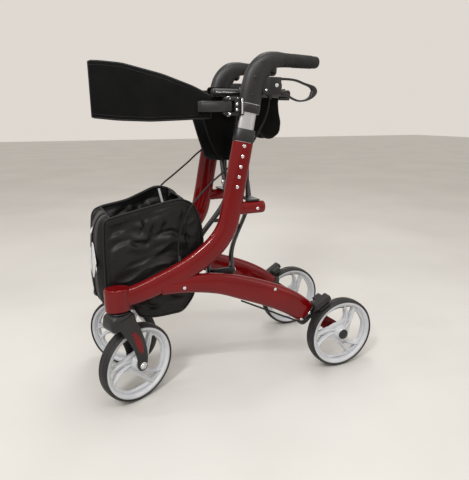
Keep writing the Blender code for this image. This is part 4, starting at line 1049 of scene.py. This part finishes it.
# Folds pressed into the side panel, as lines of (x, z) with their height and width.
CREASES = [([(-0.608, 0.398), (-0.563, 0.413), (-0.524, 0.394)], -0.0046, 0.0085),
           ([(-0.524, 0.394), (-0.511, 0.4125), (-0.462, 0.4226), (-0.420, 0.402)], -0.0048, 0.0070),
           ([(-0.610, 0.4534), (-0.536, 0.4700), (-0.444, 0.4860)], 0.0022, 0.0060),
           ([(-0.596, 0.4355), (-0.5666, 0.4322), (-0.534, 0.4295)], -0.0052, 0.0110),
           ([(-0.534, 0.4620), (-0.528, 0.4420), (-0.536, 0.4240)], -0.0034, 0.0036),
           ([(-0.522, 0.4640), (-0.514, 0.4430), (-0.520, 0.4200)], 0.0026, 0.0032),
           ([(-0.510, 0.4660), (-0.502, 0.4450), (-0.506, 0.4200)], -0.0030, 0.0034),
           ([(-0.497, 0.4680), (-0.489, 0.4480), (-0.493, 0.4260)], 0.0026, 0.0032),
           ([(-0.484, 0.4700), (-0.475, 0.4500), (-0.480, 0.4280)], -0.0028, 0.0034),
           ([(-0.434, 0.4920), (-0.4314, 0.4300), (-0.4190, 0.3900), (-0.4180, 0.3300)], -0.0030, 0.0040),
           ([(-0.605, 0.376), (-0.560, 0.392), (-0.530, 0.386)], 0.0026, 0.0080),
           ([(-0.505, 0.397), (-0.460, 0.405), (-0.425, 0.388)], 0.0026, 0.0080),
           ([(-0.600, 0.340), (-0.545, 0.352), (-0.480, 0.372), (-0.430, 0.372)], -0.0022, 0.0090),
           ([(-0.590, 0.300), (-0.540, 0.325), (-0.480, 0.340)], 0.0018, 0.0110),
           ([(-0.545, 0.262), (-0.525, 0.240), (-0.498, 0.228)], -0.0040, 0.0060),
           ([(-0.530, 0.272), (-0.500, 0.252), (-0.465, 0.240)], 0.0026, 0.0070),
           ([(-0.500, 0.286), (-0.465, 0.262), (-0.430, 0.252)], -0.0030, 0.0060)]


def bag_outline(side, y):
    """The outline of the bag seen from the side, at a distance from the middle plane."""
    made = []
    for way in (0, side):
        corners = BAG_RIM[way] + BAG_WALL[way]
        path = smooth_path([(x, 0, z) for x, z in corners], OUTLINE_STEPS, closed=True)
        made.append([Vector((p.x, p.z)) for p in path])
    t = max(0.0, min(1.0, (y - 0.026) / 0.038))
    return [a.lerp(b, t * t * (3 - 2 * t)) for a, b in zip(*made)]


def front_beak(across, z):
    """How far the front wall stands out at a signed distance across, where its folded cloth bulges."""
    rise = max(0.0, min(1.0, (z - 0.225) / 0.05, (0.462 - z) / 0.05))
    return 0.0100 * math.exp(-((across - 0.020) / 0.034) ** 2) * rise * rise * (3 - 2 * rise)


def near_line(point, line):
    """The distance to a line of points, and how far along it is the nearest spot, from 0 to 1."""
    best, where, total = 1.0, 0.0, len(line) - 1
    for k, (a, b) in enumerate(zip(line, line[1:])):
        a, b = Vector(a), Vector(b)
        t = max(0.0, min(1.0, (point - a).dot(b - a) / (b - a).length_squared))
        gap = (point - a.lerp(b, t)).length
        if gap < best:
            best, where = gap, (k + t) / total
    return best, where


def creased(x, z, side):
    """How far the folds push the side panel out."""
    bend = Vector((noise.noise(Vector((x * 30, z * 30, side))), noise.noise(Vector((z * 30, side, x * 30)))))
    point = Vector((x, z)) + bend * 0.004
    height = 0.0
    for line, rise, width in CREASES:
        gap, along = near_line(point, line)
        if gap < 3 * width:
            height += rise * math.exp(-(gap / width) ** 2) * (0.35 + 0.65 * math.sin(math.pi * along))
    long_ones = ridged((x + 0.45 * z, 0, z - 0.35 * x), 17, (0.55, 1, 1.5), 3 * side)
    from_rim = 0.4875 + 0.21 * (x + 0.512) - z  # the elastic in the rim gathers the cloth below it
    gathers = math.exp(-((x + 0.490) / 0.045) ** 2) * math.exp(-((from_rim - 0.014) / 0.010) ** 2)
    height += 0.0011 * gathers * math.sin(2 * math.pi * (x + 0.3 * z) / 0.0068)
    return height + 0.0034 * (long_ones - 0.5) + 0.0024 * noise.noise(Vector((x * 13, side, z * 13)))


def bag(side):
    """Half of the bag: its creased side panel, and its wall, which folds inwards beside the panel."""
    label = LABEL[side]
    outline = bag_outline(side, 0.083)
    count, rim = len(outline), RIM_END
    bm, made = bmesh.new(), []
    for k in range(WALL_ROWS):
        y = 0.0004 + 0.0766 * k / (WALL_ROWS - 1)
        loop = []
        for i, p in enumerate(bag_outline(side, y)):
            inward = (BAG_FLAT - p).normalized()
            fold = math.sin(math.pi * max(0.0, min(1.0, (y - FOLD_FROM) / FOLD_WIDTH))) ** 2
            depth = 0.0155 if i > rim else 0.0030
            if p.y < 0.29:
                depth = 0.0040
            rows = 0.5 - 0.5 * math.cos(2 * math.pi * (y - FOLD_FROM) / 0.0086)
            sink = depth * fold + 0.0026 * rows * min(1.0, fold * 2.5) * (i > rim)
            sink += 0.0016 * (0.6 + noise.noise(Vector((p.x * 18, y * 14, p.y * 18 + side))))
            sunk = p + inward * sink
            if p.x < -0.600:
                sunk.x -= front_beak(side * y, p.y)
            loop.append(bm.verts.new((sunk.x, side * y, sunk.y)))
        made.append(loop)
    for k in range(1, CORNER_ROWS + 1):
        a = math.pi / 2 * k / CORNER_ROWS
        y, drop = 0.0770 + 0.0050 * math.sin(a), 0.0008 + 0.0050 * (1 - math.cos(a))
        inset = [p + (BAG_FLAT - p).normalized() * drop for p in outline]
        made.append([bm.verts.new((q.x, side * y, q.y)) for q in inset])
    for k in range(1, PANEL_ROWS):
        t = k / PANEL_ROWS
        loop = []
        for p in outline:
            inner = p + (BAG_FLAT - p).normalized() * 0.0058
            q = inner.lerp(BAG_FLAT, t)
            fade = min(1.0, t * 7)
            swell = 0.0018 * math.sin(math.pi / 2 * min(1.0, t * 2.2))
            lift = max(-0.0150, min(0.0036, 1.9 * creased(q.x, q.y, side))) * fade
            loop.append(bm.verts.new((q.x, side * min(0.0870, 0.0820 + swell + lift), q.y)))
        made.append(loop)
    for k, (low, high) in enumerate(zip(made, made[1:])):
        for i in range(count):
            if k < WALL_ROWS and i < rim:
                continue
            j = (i + 1) % count
            bm.faces.new((low[i], low[j], high[j], high[i]))
    bm.faces.new(made[-1])
    bmesh.ops.delete(bm, geom=[v for v in bm.verts if not v.link_faces], context="VERTS")
    mesh = finish(bm, "bag")
    if sum(f.normal.y * f.area for f in mesh.polygons) * side < 0:
        mesh.flip_normals()
    shell = piece(label + "_bag_shell", [mesh], "bag_nylon", None,
                  [label + "_bag_side", label + "_bag_middle"], 75)
    wall = shell.modifiers.new("wall", "SOLIDIFY")
    wall.thickness, wall.offset = 0.0013, -1
    graph = bpy.context.evaluated_depsgraph_get()
    thick = bpy.data.meshes.new_from_object(shell.evaluated_get(graph))
    shell.modifiers.clear()
    shell.data = thick
    shell.data.shade_smooth()
    bound = [Vector((p.x, side * 0.0812, p.y)) for p in outline]
    binding = [path_tube(bound[:rim + 1], 0.0027, 10, 1, flat=0.8),
               path_tube([*bound[rim:], bound[0]], 0.0021, 10, 1)]
    for i in (0, rim):
        edge = []
        for k in range(12):
            y = 0.0012 + 0.0795 * k / 11
            p = bag_outline(side, y)[i]
            edge.append((p.x, side * y, p.y - 0.0012))
        binding.append(path_tube(edge, 0.0022, 10, 2))
    cover = piece(label + "_bag_binding", binding, "piping")
    line = [p + (BAG_FLAT - p).normalized() * 0.0095 for p in outline[::3]]
    points = [(p.x, side * (0.0828 + min(0.003, creased(p.x, p.y, side))), p.y) for p in line]
    sewn = [path_tube(points, 0.0005, 6, 1, closed=True)]
    if side < 0:
        for k in range(5):
            x, z = -0.4262 + 0.0022 * k, 0.4700 - 0.0078 * k
            sewn.append(path_tube([(x - 0.0042, -0.0836, z - 0.0022), (x, -0.0856, z),
                                   (x + 0.0042, -0.0842, z + 0.0022)], 0.0008, 8, 2))
    return [shell, cover, piece(label + "_bag_stitches", sewn, "thread")]


def bag_trim():
    """Tape down the middle seam, the reflective shapes on the front, and the strip by the rim."""
    made = bag_outline(1, 0)
    loops = []
    for p in made[RIM_END:] + made[:1]:
        out = (p - BAG_FLAT).normalized()
        p = p - Vector((front_beak(0, p.y) if p.x < -0.600 else 0, 0))
        a = p + out * 0.0006
        b = p - out * 0.0004
        loops.append([(a.x, -0.0052, a.y), (a.x, 0.0052, a.y), (b.x, 0.0052, b.y), (b.x, -0.0052, b.y)])
    piece("bag_seam_tape", [skin(loops)], "bag_nylon", "right_bag_slide")
    front = [p for p in made if p.x < -0.55]

    def front_x(z):
        return min(front, key=lambda p: abs(p.y - z)).x

    shapes = []
    for z_low, z_high, half, middle in ((0.302, 0.400, 0.0360, -0.010), (0.414, 0.432, 0.0080, 0.004),
                                        (0.330, 0.347, 0.0050, -0.048)):
        loops = []
        for row in range(1, 24):
            t = row / 24
            z = z_low + (z_high - z_low) * t
            reach = half * (1 - abs(2 * t - 1)) ** 1.15 + 0.0004
            across = [middle + reach * (k / 6 - 1) for k in range(13)]
            face = [(front_x(z) - front_beak(v, z) - 0.0012, v, z) for v in across]
            loops.append(face + [(x + 0.0008, v, z) for x, v, z in reversed(face)])
        shapes.append(skin(loops))
    piece("bag_front_reflector", shapes, "reflective_tape", "right_bag_slide")
    strip = [(-0.4560, 0.5045), (-0.4500, 0.5050), (-0.4395, 0.4590), (-0.4455, 0.4580)]
    loops = [[(x, y, z) for x, z in strip] for y in (0.0812, 0.0796)]
    piece("right_bag_strip", [skin(loops)], "reflective_tape", "right_frame")


# --- CAD nodes that keep their own shape ---------------------------------------------------------

LOOK_OF_SLOT = {"red_paint": "candy_red", "black_plastic": "moulded_black", "grip_rubber": "grip_rubber",
                "aluminium": "satin_aluminium", "black_tube": "black_tube", "wheel_grey": "wheel_grey",
                "tyre": "tyre_rubber", "nylon": "bag_nylon", "cable": "cable_sleeve"}


def finish_cad():
    """Gives every CAD node the look of its material slot."""
    for part in frame["record"]["subparts"]:
        obj = frame["nodes"][part["node"]]
        look = MATERIALS[LOOK_OF_SLOT[part["material_slot"]]]
        if not obj.material_slots:
            obj.data.materials.append(look)
        for slot in obj.material_slots:
            slot.material = look


# --- Stage ---------------------------------------------------------------------------------------

def stage():
    """Plain pale floor, a soft even world, six area lights and the camera."""
    bm = bmesh.new()
    bmesh.ops.create_grid(bm, x_segments=2, y_segments=2, size=14)
    mesh = bpy.data.meshes.new("floor")
    bm.to_mesh(mesh)
    bm.free()
    floor = bpy.data.objects.new("floor", mesh)
    mesh.materials.append(MATERIALS["floor"])
    bpy.context.scene.collection.objects.link(floor)
    floor.location = (0, 0, -0.0005)
    world = bpy.data.worlds.new("studio")
    bpy.context.scene.world = world
    world.use_nodes = True
    background = world.node_tree.nodes["Background"]
    background.inputs["Color"].default_value = (1.0, 0.935, 0.865, 1)
    background.inputs["Strength"].default_value = 0.74
    for name, place, aim, width, height, energy in (
            ("key", (-1.5, -1.6, 2.3), (0, 0, 0.40), 0.35, 0.84, 36),
            ("fill", (1.9, -1.6, 1.5), (0, 0, 0.4), 0.8, 1.9, 5),
            ("top", (0.2, 0.3, 2.8), (0, 0, 0.2), 0.5, 1.2, 16),
            ("back", (1.0, 2.4, 1.6), (0, 0, 0.4), 0.8, 1.9, 6),
            ("strip", (-0.3, -1.2, 2.0), (-0.1, -0.1, 0.35), 1.7, 0.05, 13),
            ("edge", (-1.9, 0.5, 1.9), (0, 0, 0.3), 0.10, 0.24, 6)):
        light = bpy.data.lights.new(name, "AREA")
        light.shape, light.size, light.size_y, light.energy = "RECTANGLE", width, height, energy
        obj = bpy.data.objects.new(name, light)
        bpy.context.scene.collection.objects.link(obj)
        obj.location = place
        obj.rotation_euler = (Vector(aim) - Vector(place)).to_track_quat("-Z", "Y").to_euler()
    bpy.context.scene.view_settings.view_transform = "Standard"
    lens = bpy.data.cameras.new("camera")
    lens.lens, lens.sensor_width, lens.sensor_fit = 33.53, 36, "AUTO"
    camera = bpy.data.objects.new("camera", lens)
    bpy.context.scene.collection.objects.link(camera)
    camera.location = (X0 - 0.7171, -1.1164, 0.6898)
    camera.rotation_euler = (math.radians(74.72), 0, math.radians(-22.115))
    bpy.context.scene.camera = camera


def build():
    """All pieces of both sides, then those in the middle."""
    shapes = wheel_shapes()
    for side in (-1, 1):
        label = LABEL[side]
        side_frame(side)
        column_fittings(side)
        rear_end(side)
        place_wheel(label + "_rear", shapes, (0, side * (FRAME_Y + WHEEL_OUT), WHEEL_R), 0,
                    label + "_rear_wheel_body")
        caster(side, shapes)
        handle(side)
        lever(side)
        cables(side)
        rail(side)
        seat(side)
        back_bracket(side)
        backrest(side)
        for obj in bag(side):
            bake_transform(obj)
    brace(-1, "brace_from_left", "brace_a")
    brace(1, "brace_from_right", "brace_b")
    bag_trim()
    finish_cad()


build()
stage()
